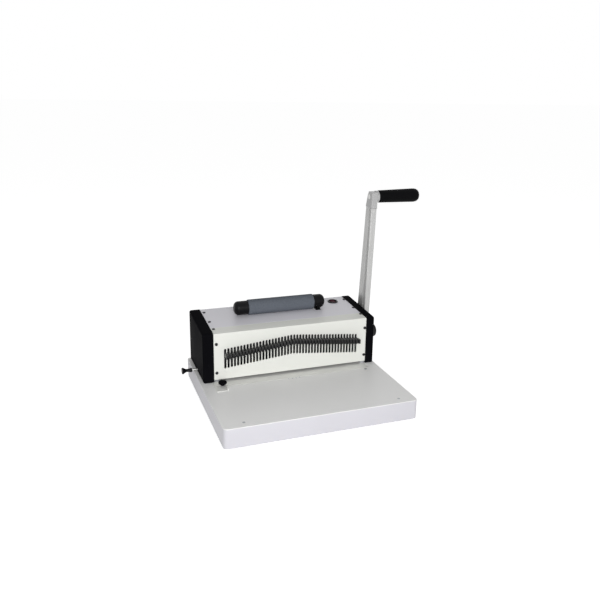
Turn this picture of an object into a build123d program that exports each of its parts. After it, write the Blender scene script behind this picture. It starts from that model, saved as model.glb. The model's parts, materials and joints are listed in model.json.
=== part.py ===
from build123d import *
from math import acos, atan2, ceil, cos, degrees, floor, hypot, pi, radians, sin, tan
import os

os.makedirs("parts", exist_ok=True)

# Desk-top hole punch for coil and wire binding, millimetres, +Z up.
# The row origin is the centre of the overall footprint, on the table under the feet.
# Machine coordinates: x from the mid-plane, y back from the front panel, z up from the deck.

# Body
panel_w = 318
side_t = 18
left_side_t = 21
body_d = 131
front_h = 98
top_rise = 8
tray_reach = 190
base_side = 2
base_left_side = 6
base_rear = 6
base_h = 37
foot_h = 7
sheet_t = 1.5
panel_t = 2
plate_t = 10
plate_gap = 0.5
shell_t = 3
proud = 1.5
fit_gap = 0.3
shaft_gap = 0.05
cut = 5

# Punching line
pin_pitch = 6.35
row_end = 18
pin_r = 2
pin_y = 16
throat_h = 4.4
stagger = 14
pinion_teeth = 20
gear_module = 1.5
key_w = 2.9
key_h = 8
key_under_top = 32
slot_w = 4.4
slot_below = 26.5
slot_above = 6
stem_out = 10
cap_w = 4.6
cap_h = 9
cap_len = 10
cap_hold = 5
key_back = 4
pin_start = 0.8

# Lever
pivot_y = 75
pivot_drop = 25.6
lean = 3.8
shaft_r = 8
washer_t = 4
washer_r = 13.8
bar_t = 12
bar_w = 26.5
bar_swell = 11.5
bar_top = 275.6
bar_tail = 18
head_h = 33.4
head_lean = 6
collar_l = 6
collar_r = 12
grip_l = 93
grip_r_in = 12.5
grip_r_out = 14
grip_axis = 298.1
hub_l = 17
hub_r = 13.8
cap_dome = 6

# Left margin knob
rod_r = 2.25
rod_show = 11
knob_len = 20
margin_y = 57
margin_z = 6.5
margin_teeth = 10
margin_r = 4

# Coil roller on the top
roller_s = 80
roller_r = 15.5
roller_left = 88.6
roller_right = 89.5
left_block_l = 28.5
right_block_l = 25.1
block_r = 13.9

half_w = panel_w / 2
pin_count = 2 * floor((half_w - row_end) / pin_pitch)
key_level = front_h - key_under_top
pivot_z = key_level - pivot_drop
roller_from = roller_left - half_w
roller_to = half_w - roller_right
out_w = half_w + side_t
left_w = half_w + left_side_t
base_right = out_w + base_side
base_left = left_w + base_left_side
base_half = (base_left + base_right) / 2
base_mid = (base_right - base_left) / 2
plate_out = half_w - plate_gap
plate_in = plate_out - plate_t
base_back = body_d + base_rear
slope = degrees(atan2(top_rise, body_d))
left_out = left_w + rod_show + knob_len
right_out = out_w + washer_t + bar_t + collar_l + grip_l
mid_x = (left_out - right_out) / 2
face_y = (tray_reach - base_back) / 2
deck_z = foot_h + base_h


def pt(x, y, z):
    return (mid_x + x, face_y + y, deck_z + z)


def flat(x, y, z):
    return Plane(pt(x, y, z))


def side(x, y=0, z=0):
    return Plane(origin=pt(x, y, z), x_dir=(0, 1, 0), z_dir=(1, 0, 0))


def front(y, x=0, z=0):
    return Plane(origin=pt(x, y, z), x_dir=(1, 0, 0), z_dir=(0, -1, 0))


def back(y, x=0, z=0):
    return Plane(origin=pt(x, y, z), x_dir=(-1, 0, 0), z_dir=(0, 1, 0))


def top(x, s, h=0):
    """A plane on the sloping top: s runs up the slope from the front edge, h stands off it."""
    tilt = radians(slope)
    y = s * cos(tilt) - h * sin(tilt)
    z = front_h + s * sin(tilt) + h * cos(tilt)
    return Plane(origin=pt(x, y, z), x_dir=(1, 0, 0), z_dir=(0, -sin(tilt), cos(tilt)))


def roof(y, depth=0):
    """Height of the top surface above the deck at y, less a depth measured square to it."""
    return front_h + y * tan(radians(slope)) - depth / cos(radians(slope))


def mesh_plane(x, y, z, towards):
    """A plane square to X at a pinion's centre, its own x pointing at the rack."""
    return Plane(origin=pt(x, y, z), x_dir=towards, z_dir=(1, 0, 0))


def involute(angle):
    return tan(angle) - angle


def gear_points(teeth, pitch_r, angle, tip_add, root_ded, slack, steps=4):
    """Outline of a spur gear with a tooth space centred on its own x axis."""
    base_r = pitch_r * cos(radians(angle))
    root_r = pitch_r - root_ded
    tip_r = pitch_r + tip_add
    half = pi / (2 * teeth) - slack / (2 * pitch_r) + involute(radians(angle))
    start_r = max(base_r, root_r)
    flank = [(root_r, half)] if root_r < base_r else []
    for i in range(steps + 1):
        r = start_r + (tip_r - start_r) * i / steps
        flank.append((r, half - involute(acos(min(1, base_r / r)))))
    points = []
    for tooth in range(teeth):
        middle = 2 * pi * (tooth + 0.5) / teeth
        rising = [(r, middle - a) for r, a in flank]
        falling = [(r, middle + a) for r, a in reversed(flank)]
        points += [(r * cos(a), r * sin(a)) for r, a in rising + falling]
    return points


def rack_points(pitch_r, pitch, angle, tip_add, root_ded, slack, start, stop, back):
    """Outline of a rack: its own x points away from the pinion, a tooth centred on y = 0."""
    rise = tan(radians(angle))
    tip_x = pitch_r - tip_add
    root_x = pitch_r + root_ded
    tip_half = pitch / 4 - slack / 2 - tip_add * rise
    root_half = pitch / 4 - slack / 2 + root_ded * rise
    points = [(back, start), (root_x, start)]
    tooth = ceil((start + root_half) / pitch)
    while tooth * pitch + root_half < stop:
        y = tooth * pitch
        points += [(root_x, y - root_half), (tip_x, y - tip_half)]
        points += [(tip_x, y + tip_half), (root_x, y + root_half)]
        tooth += 1
    points += [(root_x, stop), (back, stop)]
    return points


# Punch places along the row, and the chevron that staggers them
row_w = (pin_count - 1) * pin_pitch
pin_xs = [pin_pitch * (i - (pin_count - 1) / 2) for i in range(pin_count)]


def key_z(x):
    """Underside of the key at x: highest in the middle of the row."""
    return key_level - stagger * abs(x) / (row_w / 2)


# Base pan: floor, four walls, a drawer mouth in the back wall and holes for the foot screws
foot_r = 11
foot_inset = 25
foot_screw_r = 2
drawer_room = 5.5
drawer_mouth = 0.5
drawer_top = 17
corner_r = 8
drawer_half = plate_in - drawer_room
pan_top = -sheet_t
foot_xs = [base_right - foot_inset, foot_inset - base_left]
foot_ys = [foot_inset - tray_reach, base_back - foot_inset]
foot_places = [pt(x, y, -base_h) for x in foot_xs for y in foot_ys]
deck_l = tray_reach + base_back
deck_mid = (base_back - tray_reach) / 2

with BuildPart() as base_pan:
    with BuildSketch(flat(base_mid, deck_mid, -base_h)):
        RectangleRounded(2 * base_half, deck_l, corner_r)
    extrude(amount=base_h + pan_top)
    with BuildSketch(flat(base_mid, deck_mid, -base_h + sheet_t)):
        RectangleRounded(2 * (base_half - sheet_t), deck_l - 2 * sheet_t, corner_r - sheet_t)
    extrude(amount=base_h, mode=Mode.SUBTRACT)
    mouth_h = base_h - sheet_t - drawer_top + 2 * drawer_mouth
    with Locations(pt(0, base_back - sheet_t, -base_h + sheet_t)):
        Box(2 * (drawer_half + drawer_mouth), cut, mouth_h,
            align=(Align.CENTER, Align.CENTER, Align.MIN), mode=Mode.SUBTRACT)
    with Locations(*foot_places):
        Cylinder(foot_screw_r + fit_gap, 2 * cut, mode=Mode.SUBTRACT)
base_pan.part.label = "base_pan"
export_step(base_pan.part, "parts/base_pan.step")

# Paper tray: the flat top of the base, with skirts inside the pan and a window for the die
skirt_h = 9
die_end = 2
die_half = half_w - die_end
die_lip = 25
die_back = 45
die_t = 12
window_gap = 0.4
tray_screw_side = 32
tray_screw_edge = 16
tray_screw_y = -30
bracket_set = 4
tray_screw_r = 1.5
flat_head_r = 2.8
tray_screw_x = base_right - tray_screw_side
tray_screw_ys = [tray_screw_edge - tray_reach, tray_screw_y]
tray_screw_xs = [-tray_screw_x, tray_screw_x]
tray_screw_places = [(x, y) for x in tray_screw_xs for y in tray_screw_ys]

with BuildPart() as paper_tray:
    with BuildSketch(flat(base_mid, deck_mid, 0)):
        RectangleRounded(2 * base_half, deck_l, corner_r)
    extrude(amount=-sheet_t)
    skirt_half = base_half - sheet_t
    with BuildSketch(flat(base_mid, deck_mid, -sheet_t)):
        RectangleRounded(2 * skirt_half, deck_l - 2 * sheet_t, corner_r - sheet_t)
        RectangleRounded(2 * (skirt_half - sheet_t), deck_l - 4 * sheet_t, corner_r - 2 * sheet_t,
                         mode=Mode.SUBTRACT)
    extrude(amount=-skirt_h)
    with Locations(pt(0, (die_back - die_lip) / 2, 0)):
        Box(2 * (die_half + window_gap), die_back + die_lip + 2 * window_gap, cut,
            mode=Mode.SUBTRACT)
    with Locations(*[pt(x, y, 0) for x, y in tray_screw_places]):
        CounterSinkHole(tray_screw_r + shaft_gap, flat_head_r + shaft_gap, cut, 90)
paper_tray.part.label = "paper_tray"
export_step(paper_tray.part, "parts/paper_tray.step")

# Cross brackets: two channels across the base that carry the tray and its screws
bracket_w = 16
bracket_t = 2
bracket_end = 3
bracket_half = skirt_half - sheet_t - bracket_end

with BuildPart() as tray_brackets:
    for y in tray_screw_ys:
        mid = y - bracket_set
        with Locations(pt(base_mid, mid, -sheet_t)):
            Box(2 * bracket_half, bracket_w, bracket_t,
                align=(Align.CENTER, Align.CENTER, Align.MAX))
        for edge in (-1, 1):
            with Locations(pt(base_mid, mid + edge * (bracket_w - bracket_t) / 2, -sheet_t)):
                Box(2 * bracket_half, bracket_t, base_h - 2 * sheet_t,
                    align=(Align.CENTER, Align.CENTER, Align.MAX))
    with Locations(*[pt(x, y, -sheet_t) for x, y in tray_screw_places]):
        Cylinder(tray_screw_r + shaft_gap, 2 * cut, mode=Mode.SUBTRACT)
tray_brackets.part.label = "tray_brackets"
export_step(tray_brackets.part, "parts/tray_brackets.step")

# Countersunk screws that hold the tray, flush with its top
tray_screw_l = 8

with BuildPart() as tray_screws:
    for x, y in tray_screw_places:
        with BuildSketch(side(x, y, 0)):
            with BuildLine():
                Polyline((0, -tray_screw_l), (tray_screw_r, -tray_screw_l),
                         (tray_screw_r, tray_screw_r - flat_head_r), (flat_head_r, 0), (0, 0),
                         close=True)
            make_face()
        revolve(axis=Axis(pt(x, y, 0), (0, 0, 1)))
tray_screws.part.label = "tray_screws"
export_step(tray_screws.part, "parts/tray_screws.step")

# Rubber feet with a recess for their screws
foot_recess_r = 5
foot_recess = 3.5
foot_draft = 3

with BuildPart() as rubber_feet:
    for place in foot_places:
        with BuildSketch(Plane(place)):
            Circle(foot_r)
        extrude(amount=-foot_h, taper=foot_draft)
        with Locations(place):
            Cylinder(foot_screw_r + shaft_gap, 4 * foot_h, mode=Mode.SUBTRACT)
            with Locations((0, 0, -foot_h)):
                Cylinder(foot_recess_r, 2 * foot_recess, mode=Mode.SUBTRACT)
rubber_feet.part.label = "rubber_feet"
export_step(rubber_feet.part, "parts/rubber_feet.step")

# Foot screws, head down in the recess, with a nut on the pan floor
foot_head_r = 3.8
foot_head_h = 2
foot_nut_r = 4
foot_nut_h = 3
foot_screw_l = foot_h - foot_recess + sheet_t + foot_nut_h

with BuildPart() as foot_screws:
    for place in foot_places:
        with Locations(place):
            with Locations((0, 0, foot_recess - foot_h)):
                Cylinder(foot_screw_r, foot_screw_l, align=(Align.CENTER, Align.CENTER, Align.MIN))
                Cylinder(foot_head_r, foot_head_h, align=(Align.CENTER, Align.CENTER, Align.MAX))
        with BuildSketch(Plane(place).offset(sheet_t)):
            RegularPolygon(foot_nut_r, 6)
        extrude(amount=foot_nut_h)
foot_screws.part.label = "foot_screws"
export_step(foot_screws.part, "parts/foot_screws.step")

# Die plate: let into the tray, flush with it, a lip in front of the throat and a hole for each pin
die_hole_r = pin_r + shaft_gap
stud_in = 9.8
stud_x = stud_in - die_half
stud_y = -20
stud_r = 2
stud_depth = 8

with BuildPart() as die_plate:
    with Locations(pt(0, (die_back - die_lip) / 2, 0)):
        Box(2 * die_half, die_back + die_lip, die_t, align=(Align.CENTER, Align.CENTER, Align.MAX))
    with Locations(*[pt(x, pin_y, 0) for x in pin_xs]):
        Cylinder(die_hole_r, 3 * die_t, mode=Mode.SUBTRACT)
    with Locations(pt(stud_x, stud_y, 0)):
        Cylinder(stud_r, 2 * stud_depth, mode=Mode.SUBTRACT)
die_plate.part.label = "die_plate"
export_step(die_plate.part, "parts/die_plate.step")

# Pin guide: the block above the throat that guides and strips the pins
guide_front = 6
guide_back = 26
guide_top = 22
spring_r = 3.2
spring_wire = 1
spring_room = 4.9
spring_x = plate_in - spring_room
spring_seat = 1.6
pocket_r = spring_r + fit_gap

with BuildPart() as pin_guide:
    with Locations(pt(0, (guide_front + guide_back) / 2, throat_h)):
        Box(2 * plate_in, guide_back - guide_front, guide_top - throat_h,
            align=(Align.CENTER, Align.CENTER, Align.MIN))
    with Locations(*[pt(x, pin_y, guide_top) for x in pin_xs]):
        Cylinder(die_hole_r, 3 * guide_top, mode=Mode.SUBTRACT)
    with Locations(*[pt(x, pin_y, throat_h + spring_seat) for x in (-spring_x, spring_x)]):
        Cylinder(pocket_r, guide_top, align=(Align.CENTER, Align.CENTER, Align.MIN),
                 mode=Mode.SUBTRACT)
pin_guide.part.label = "pin_guide"
export_step(pin_guide.part, "parts/pin_guide.step")

# Frame plates: they stand on the deck, carry the shafts and guide the ends of the press bar
bush_r = 11
way_front = 7
way_back = 27
way_depth = 3
way_below = 48
way_above = 6
way_low = key_level - way_below
way_high = key_level + way_above
tie_r = 6
tie_back = 31
tie_y = body_d - tie_back
tie_z = 20
cover_screw_r = 1.5
head_r = 3
left_screw_x = -(plate_in + plate_out) / 2
right_screw_x = half_w - head_r - shaft_gap
both = (left_screw_x, right_screw_x)
top_screw_first = 23
top_screw_mid = 60
top_screw_back = 20.4
top_screw_s = [top_screw_first, top_screw_mid, body_d - top_screw_back]
front_screw_low = 18.5
front_screw_drop = 21
front_screw_z = [front_screw_low, front_h - front_screw_drop]
rear_screw_low = 20
rear_screw_drop = 28
rear_screw_z = [rear_screw_low, front_h - rear_screw_drop]
screw_l = 8
plate_back = body_d - sheet_t


def frame_plate(hand):
    """One side plate; hand is -1 for the left plate and 1 for the right one."""
    screw_x = both[0] if hand < 0 else both[1]
    with BuildPart() as plate:
        with BuildSketch(side(hand * (plate_in + plate_t / 2))):
            Polygon((panel_t, 0), (plate_back, 0), (plate_back, roof(plate_back, sheet_t)),
                    (panel_t, roof(panel_t, sheet_t)), align=None)
        extrude(amount=plate_t / 2, both=True)
        with BuildSketch(side(hand * plate_in)):
            with Locations(((way_front + way_back) / 2, (way_low + way_high) / 2)):
                Rectangle(way_back - way_front, way_high - way_low)
        extrude(amount=hand * way_depth, mode=Mode.SUBTRACT)
        with BuildSketch(side(hand * (plate_in + plate_t / 2))):
            with Locations((pivot_y, pivot_z)):
                Circle(bush_r)
            with Locations((margin_y, margin_z)):
                Circle(rod_r + shaft_gap)
            with Locations((tie_y, tie_z)):
                Circle(tie_r / 2)
        extrude(amount=plate_t, both=True, mode=Mode.SUBTRACT)
        for s in top_screw_s:
            with BuildSketch(top(screw_x, s)):
                Circle(cover_screw_r)
            extrude(amount=-screw_l - sheet_t, mode=Mode.SUBTRACT)
        for z in front_screw_z:
            with BuildSketch(front(0, screw_x, z)):
                Circle(cover_screw_r)
            extrude(amount=-screw_l - panel_t, mode=Mode.SUBTRACT)
        for z in rear_screw_z:
            with BuildSketch(front(body_d, screw_x, z)):
                Circle(cover_screw_r)
            extrude(amount=screw_l + sheet_t, mode=Mode.SUBTRACT)
    return plate.part


left_frame_plate = frame_plate(-1)
left_frame_plate.label = "left_frame_plate"
export_step(left_frame_plate, "parts/left_frame_plate.step")
right_frame_plate = frame_plate(1)
right_frame_plate.label = "right_frame_plate"
export_step(right_frame_plate, "parts/right_frame_plate.step")

# Tie rod between the plates, turned down at its ends to sit in them
with BuildPart() as tie_rod:
    with BuildSketch(side(-plate_in, tie_y, tie_z)):
        Circle(tie_r)
    extrude(amount=2 * plate_in)
    with BuildSketch(side(-plate_out, tie_y, tie_z)):
        Circle(tie_r / 2)
    extrude(amount=2 * plate_out)
tie_rod.part.label = "tie_rod"
export_step(tie_rod.part, "parts/tie_rod.step")

# Side housings: black moulded shells over the outside of the plates
housing_corner = 5
housing_edge = 4
shaft_room = 2
shaft_hole_r = shaft_r + shaft_room
rod_room = 1
rod_hole_r = rod_r + rod_room


def housing(hand):
    """One moulded end shell, open towards the frame plate."""
    outer = [(-proud, 0), (body_d + proud, 0), (body_d + proud, roof(body_d, -proud)),
             (-proud, roof(0, -proud))]
    deep = left_side_t if hand < 0 else side_t
    with BuildPart() as shell:
        with BuildSketch(side(hand * half_w)):
            Polygon(*outer, align=None)
        extrude(amount=hand * deep)
        upright = shell.edges().filter_by(Axis.X).sort_by(Axis.Z)[-2:]
        fillet(upright, housing_corner)
        outside = shell.faces().sort_by(Axis.X)[0 if hand < 0 else -1]
        fillet(outside.edges(), housing_edge)
        with BuildSketch(side(hand * half_w)):
            offset(Polygon(*outer, align=None, mode=Mode.PRIVATE), amount=-shell_t)
        extrude(amount=hand * (deep - shell_t), mode=Mode.SUBTRACT)
        hole_y, hole_z, hole_r = margin_y, margin_z, rod_hole_r
        if hand > 0:
            hole_y, hole_z, hole_r = pivot_y, pivot_z, shaft_hole_r
        with BuildSketch(side(hand * (half_w + deep), hole_y, hole_z)):
            Circle(hole_r)
        extrude(amount=-hand * deep / 2, mode=Mode.SUBTRACT)
    return shell.part


left_side_housing = housing(-1)
left_side_housing.label = "left_side_housing"
export_step(left_side_housing, "parts/left_side_housing.step")
right_side_housing = housing(1)
right_side_housing.label = "right_side_housing"
export_step(right_side_housing, "parts/right_side_housing.step")

# Front panel: one folded sheet, the face with its chevron of slots and a strip of the top
fold_s = 29
bend_r = 1.6
tilt = radians(slope)
seam = (fold_s * cos(tilt), front_h + fold_s * sin(tilt))
seam_in = (seam[0] + sheet_t * sin(tilt), seam[1] - sheet_t * cos(tilt))

with BuildPart() as front_panel:
    with BuildSketch(side(-half_w)):
        Polygon((0, throat_h), (0, front_h), seam, seam_in, (panel_t, roof(panel_t, sheet_t)),
                (panel_t, throat_h), align=None)
    extrude(amount=panel_w)
    fold = front_panel.edges().filter_by(Axis.X).filter_by_position(
        Axis.Y, face_y - shaft_gap, face_y + shaft_gap).sort_by(Axis.Z)[-1]
    fillet(fold, bend_r)
    with BuildSketch(front(0)):
        for x in pin_xs:
            low = key_z(x) - slot_below
            high = key_z(x) + key_h + slot_above
            with Locations((x, (low + high) / 2)):
                SlotOverall(high - low, slot_w, rotation=90)
        for x in both:
            with Locations(*[(x, z) for z in front_screw_z]):
                Circle(cover_screw_r)
    extrude(amount=-panel_t, mode=Mode.SUBTRACT)
    for x in both:
        with BuildSketch(top(x, top_screw_s[0])):
            Circle(cover_screw_r)
        extrude(amount=-2 * sheet_t, mode=Mode.SUBTRACT)
front_panel.part.label = "front_panel"
export_step(front_panel.part, "parts/front_panel.step")

# Top cover: the rest of the top, folded down at the back, with the belt slot and switch hole
rear_fold_h = 14
switch_side = 32.2
switch_back = 26.6
switch_x = half_w - switch_side
switch_s = body_d - switch_back
switch_r = 10
belt_in = 11
belt_x = roller_to + belt_in
belt_slot_w = 12
belt_slot_l = 25
back_top = roof(body_d)
start = ((fold_s + fit_gap) * cos(tilt), front_h + (fold_s + fit_gap) * sin(tilt))
start_in = (start[0] + sheet_t * sin(tilt), start[1] - sheet_t * cos(tilt))

with BuildPart() as top_cover:
    with BuildSketch(side(-half_w)):
        Polygon(start, (body_d, back_top), (body_d, back_top - rear_fold_h),
                (body_d - sheet_t, back_top - rear_fold_h),
                (body_d - sheet_t, roof(body_d - sheet_t, sheet_t)), start_in, align=None)
    extrude(amount=panel_w)
    back_edge = top_cover.edges().filter_by(Axis.X).group_by(Axis.Y)[-1].sort_by(Axis.Z)[-1]
    fillet(back_edge, sheet_t)
    for x in both:
        for s in top_screw_s[1:]:
            with BuildSketch(top(x, s)):
                Circle(cover_screw_r)
            extrude(amount=-2 * sheet_t, mode=Mode.SUBTRACT)
    with BuildSketch(top(switch_x, switch_s)):
        Circle(switch_r)
    extrude(amount=-2 * sheet_t, mode=Mode.SUBTRACT)
    with BuildSketch(top(belt_x, roller_s)):
        Rectangle(belt_slot_w, belt_slot_l)
    extrude(amount=-2 * sheet_t, mode=Mode.SUBTRACT)
top_cover.part.label = "top_cover"
export_step(top_cover.part, "parts/top_cover.step")

# Rear cover: with the window of the power inlet and a bank of cooling slots by the motor
inlet_side = 49
inlet_x = half_w - inlet_side
inlet_z = 26
inlet_w = 27
inlet_h = 20
vent_count = 9
vent_pitch = 7
vent_w = 3
vent_l = 26
vent_off = 55
vent_drop = 38
vent_x = belt_x - vent_off
vent_z = front_h - vent_drop
rear_top = back_top - rear_fold_h - fit_gap

with BuildPart() as rear_cover:
    with BuildSketch(front(body_d)):
        with Locations((0, rear_top / 2)):
            Rectangle(panel_w, rear_top)
        with Locations((inlet_x, inlet_z)):
            Rectangle(inlet_w + 2 * fit_gap, inlet_h + 2 * fit_gap, mode=Mode.SUBTRACT)
        with Locations((vent_x, vent_z)):
            with GridLocations(vent_pitch, 0, vent_count, 1):
                SlotOverall(vent_l, vent_w, rotation=90, mode=Mode.SUBTRACT)
        for x in both:
            with Locations(*[(x, z) for z in rear_screw_z]):
                Circle(cover_screw_r, mode=Mode.SUBTRACT)
    extrude(amount=sheet_t)
rear_cover.part.label = "rear_cover"
export_step(rear_cover.part, "parts/rear_cover.step")

# Cover screws: pan heads, six on the top, four on the front, four on the back
head_high = 1.8
head_edge = 0.6


def pan_screws(planes, length):
    """Screws that stand on the given planes, with their shanks below them."""
    with BuildPart() as group:
        for plane in planes:
            with BuildSketch(plane):
                Circle(head_r)
            extrude(amount=head_high)
            with BuildSketch(plane):
                Circle(cover_screw_r)
            extrude(amount=-length)
        crowns = group.faces().filter_by(GeomType.PLANE).filter_by(
            lambda face: abs(face.area - pi * head_r ** 2) < head_edge * head_edge)
        fillet(crowns.edges(), head_edge)
    return group.part


cover_planes = [top(x, s) for x in both for s in top_screw_s]
cover_planes += [front(0, x, z) for x in both for z in front_screw_z]
cover_planes += [back(body_d, x, z) for x in both for z in rear_screw_z]
cover_screws = pan_screws(cover_planes, screw_l)
cover_screws.label = "cover_screws"
export_step(cover_screws, "parts/cover_screws.step")

# Press bar: a chevron beam with a cross slot and an upright hole for every pin
bar_front = 4
bar_back = 30
bar_below = 6.5
bar_above = 7
bar_end = plate_in - fit_gap
tongue_end = plate_in + way_depth - fit_gap
key_slot_back = pin_y + pin_r + key_back
spring_roof = 4.3
spring_top = key_z(spring_x) + key_h + bar_above - spring_roof


def chevron(half_length, below, above):
    """A chevron band that follows the keys across the machine."""
    low = key_z(half_length)
    return [(-half_length, low - below), (0, key_level - below), (half_length, low - below),
            (half_length, low + key_h + above), (0, key_level + key_h + above),
            (-half_length, low + key_h + above)]


with BuildPart() as press_bar:
    with BuildSketch(front(bar_front)):
        Polygon(*chevron(bar_end, bar_below, bar_above), align=None)
    extrude(amount=bar_front - bar_back)
    with BuildSketch(front(way_front + fit_gap)):
        Polygon(*chevron(tongue_end, bar_below, bar_above), align=None)
    extrude(amount=way_front - way_back + 2 * fit_gap)
    with BuildSketch(front(bar_front)):
        for x in pin_xs:
            with Locations((x, key_z(x) + key_h / 2)):
                Rectangle(key_w + 4 * shaft_gap, key_h + 4 * shaft_gap)
    extrude(amount=bar_front - key_slot_back, mode=Mode.SUBTRACT)
    with Locations(*[pt(x, pin_y, key_z(x) + key_h / 2) for x in pin_xs]):
        Cylinder(pin_r + shaft_gap, key_h / 2 + 2 * bar_below,
                 align=(Align.CENTER, Align.CENTER, Align.MAX), mode=Mode.SUBTRACT)
    with Locations(*[pt(x, pin_y, spring_top) for x in (-spring_x, spring_x)]):
        Cylinder(pocket_r, 2 * guide_top, align=(Align.CENTER, Align.CENTER, Align.MAX),
                 mode=Mode.SUBTRACT)
press_bar.part.label = "press_bar"
export_step(press_bar.part, "parts/press_bar.step")

# Punch pins: all of one length, hung on the chevron
pin_tip = throat_h + pin_start
pin_l = key_z(row_w / 2) - pin_tip - shaft_gap

with BuildPart() as punch_pins:
    with Locations(*[pt(x, pin_y, key_z(x) - shaft_gap) for x in pin_xs]):
        Cylinder(pin_r, pin_l, align=(Align.CENTER, Align.CENTER, Align.MAX))
punch_pins.part.label = "punch_pins"
export_step(punch_pins.part, "parts/punch_pins.step")

# Pin pullers: a flat steel key between pin and press bar, with a moulded cap in front
key_rear = key_slot_back - 2 * pin_r + key_back / 2
cap_edge = 1


def pullers(xs):
    """Keys and their caps for the pins at the given places."""
    middles = [(x, key_z(x) + key_h / 2) for x in xs]
    with BuildPart() as keys:
        with Locations(*[pt(x, -stem_out - cap_hold, z) for x, z in middles]):
            Box(key_w, stem_out + cap_hold + panel_t + 2 * cap_edge, key_h - 2 * cap_edge,
                align=(Align.CENTER, Align.MIN, Align.CENTER))
        with Locations(*[pt(x, panel_t + cap_edge, z) for x, z in middles]):
            Box(key_w, key_rear - panel_t - cap_edge, key_h,
                align=(Align.CENTER, Align.MIN, Align.CENTER))
    with BuildPart() as caps:
        with BuildSketch(front(-stem_out)):
            with Locations(*middles):
                RectangleRounded(cap_w, cap_h, cap_edge)
        extrude(amount=cap_len)
        with Locations(*[pt(x, -stem_out, z) for x, z in middles]):
            Box(key_w, 2 * cap_hold, key_h - 2 * cap_edge, mode=Mode.SUBTRACT)
    return Compound(children=keys.part.solids() + caps.part.solids())


own_pullers = {
    "left_outer_puller": pin_xs[:1],
    "left_second_puller": pin_xs[1:2],
    "right_second_puller": pin_xs[-2:-1],
    "right_outer_puller": pin_xs[-1:],
    "inner_pullers": pin_xs[2:-2],
}
for puller_name, places in own_pullers.items():
    puller = pullers(places)
    puller.label = puller_name
    export_step(puller, f"parts/{puller_name}.step")

# Return springs under the ends of the press bar
spring_turns = 13
wire_sides = 8
spring_low = throat_h + spring_seat
spring_len = spring_top - spring_low

with BuildPart() as return_springs:
    for x in (-spring_x, spring_x):
        coil_r = spring_r - spring_wire / 2
        rise = spring_len - spring_wire - 2 * shaft_gap
        start_z = spring_low + spring_wire / 2 + shaft_gap
        with BuildLine(flat(x, pin_y, start_z)) as coil:
            Helix(pitch=rise / spring_turns, height=rise, radius=coil_r)
        with BuildSketch(Plane(origin=coil.line @ 0, z_dir=coil.line % 0)):
            RegularPolygon(spring_wire / 2, wire_sides)
        sweep(path=coil.line, is_frenet=True)
return_springs.part.label = "return_springs"
export_step(return_springs.part, "parts/return_springs.step")

# Racks on the back of the press bar, in mesh with the pinions of the lever shaft
rack_room = 28.5
rack_x = plate_in - rack_room
rack_w = 14
pressure = 20
pinion_r = gear_module * pinion_teeth / 2
tooth_slack = 0.2
root_extra = 0.25
rack_below = 9
rack_above = 31

with BuildPart() as press_racks:
    for x in (-rack_x, rack_x):
        with BuildSketch(mesh_plane(x - rack_w / 2, pivot_y, pivot_z, (0, -1, 0))):
            Polygon(*rack_points(pinion_r, pi * gear_module, pressure, gear_module,
                                 gear_module * (1 + root_extra), tooth_slack,
                                 -rack_above, rack_below, pivot_y - bar_back),
                    align=None)
        extrude(amount=rack_w)
press_racks.part.label = "press_racks"
export_step(press_racks.part, "parts/press_racks.step")

# Pinions keyed on the lever shaft
pinion_w = 16

with BuildPart() as drive_pinions:
    for x in (-rack_x, rack_x):
        with BuildSketch(mesh_plane(x - pinion_w / 2, pivot_y, pivot_z, (0, -1, 0))):
            Polygon(*gear_points(pinion_teeth, pinion_r, pressure, gear_module,
                                 gear_module * (1 + root_extra), tooth_slack), align=None)
            Circle(shaft_r, mode=Mode.SUBTRACT)
        extrude(amount=pinion_w)
drive_pinions.part.label = "drive_pinions"
export_step(drive_pinions.part, "parts/drive_pinions.step")

# Lever shaft, its flanged bushes and the rings that hold it endways
shaft_over = 4
shaft_left = plate_out + shaft_over
shaft_right = out_w + washer_t + bar_t + hub_l
ring_t = 1.2
ring_r = 10.5
flange_r = 14
flange_t = 2

with BuildPart() as lever_shaft:
    with BuildSketch(side(-shaft_left, pivot_y, pivot_z)):
        Circle(shaft_r)
    extrude(amount=shaft_left + shaft_right)
lever_shaft.part.label = "lever_shaft"
export_step(lever_shaft.part, "parts/lever_shaft.step")

with BuildPart() as shaft_bushes:
    for hand in (-1, 1):
        with BuildSketch(side(hand * plate_in, pivot_y, pivot_z)):
            Circle(bush_r)
        extrude(amount=hand * plate_t)
        with BuildSketch(side(hand * plate_in, pivot_y, pivot_z)):
            Circle(flange_r)
        extrude(amount=-hand * flange_t)
    with BuildSketch(side(-out_w, pivot_y, pivot_z)):
        Circle(shaft_r + shaft_gap)
    extrude(amount=2 * out_w, mode=Mode.SUBTRACT)
shaft_bushes.part.label = "shaft_bushes"
export_step(shaft_bushes.part, "parts/shaft_bushes.step")

with BuildPart() as shaft_rings:
    for x in (-plate_out - fit_gap - ring_t, plate_in - flange_t - fit_gap - ring_t):
        with BuildSketch(side(x, pivot_y, pivot_z)):
            Circle(ring_r)
            Circle(shaft_r, mode=Mode.SUBTRACT)
        extrude(amount=ring_t)
shaft_rings.part.label = "shaft_rings"
export_step(shaft_rings.part, "parts/shaft_rings.step")

# Lever: washer, grooved bar, head block, collar, axle, grip, hub and cap
bar_in = out_w + washer_t
bar_out = bar_in + bar_t
groove_w = 8
groove_d = 2.5
groove_y = -6.5
bar_edge = 1.5
head_extra = 0.6
head_chamfer = 9
axle_r = 5
axle_short = 11
axle_l = grip_l - axle_short
grip_round = 13
grip_round_share = 0.8
washer_gap = 0.3


def lever_plane(x, up=0):
    """Square to X on the lever: its own y runs up the bar from the pivot."""
    lean_by = radians(lean)
    y = pivot_y - up * sin(lean_by)
    z = pivot_z + up * cos(lean_by)
    return Plane(origin=pt(x, y, z), x_dir=(0, cos(lean_by), sin(lean_by)), z_dir=(1, 0, 0))


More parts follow.
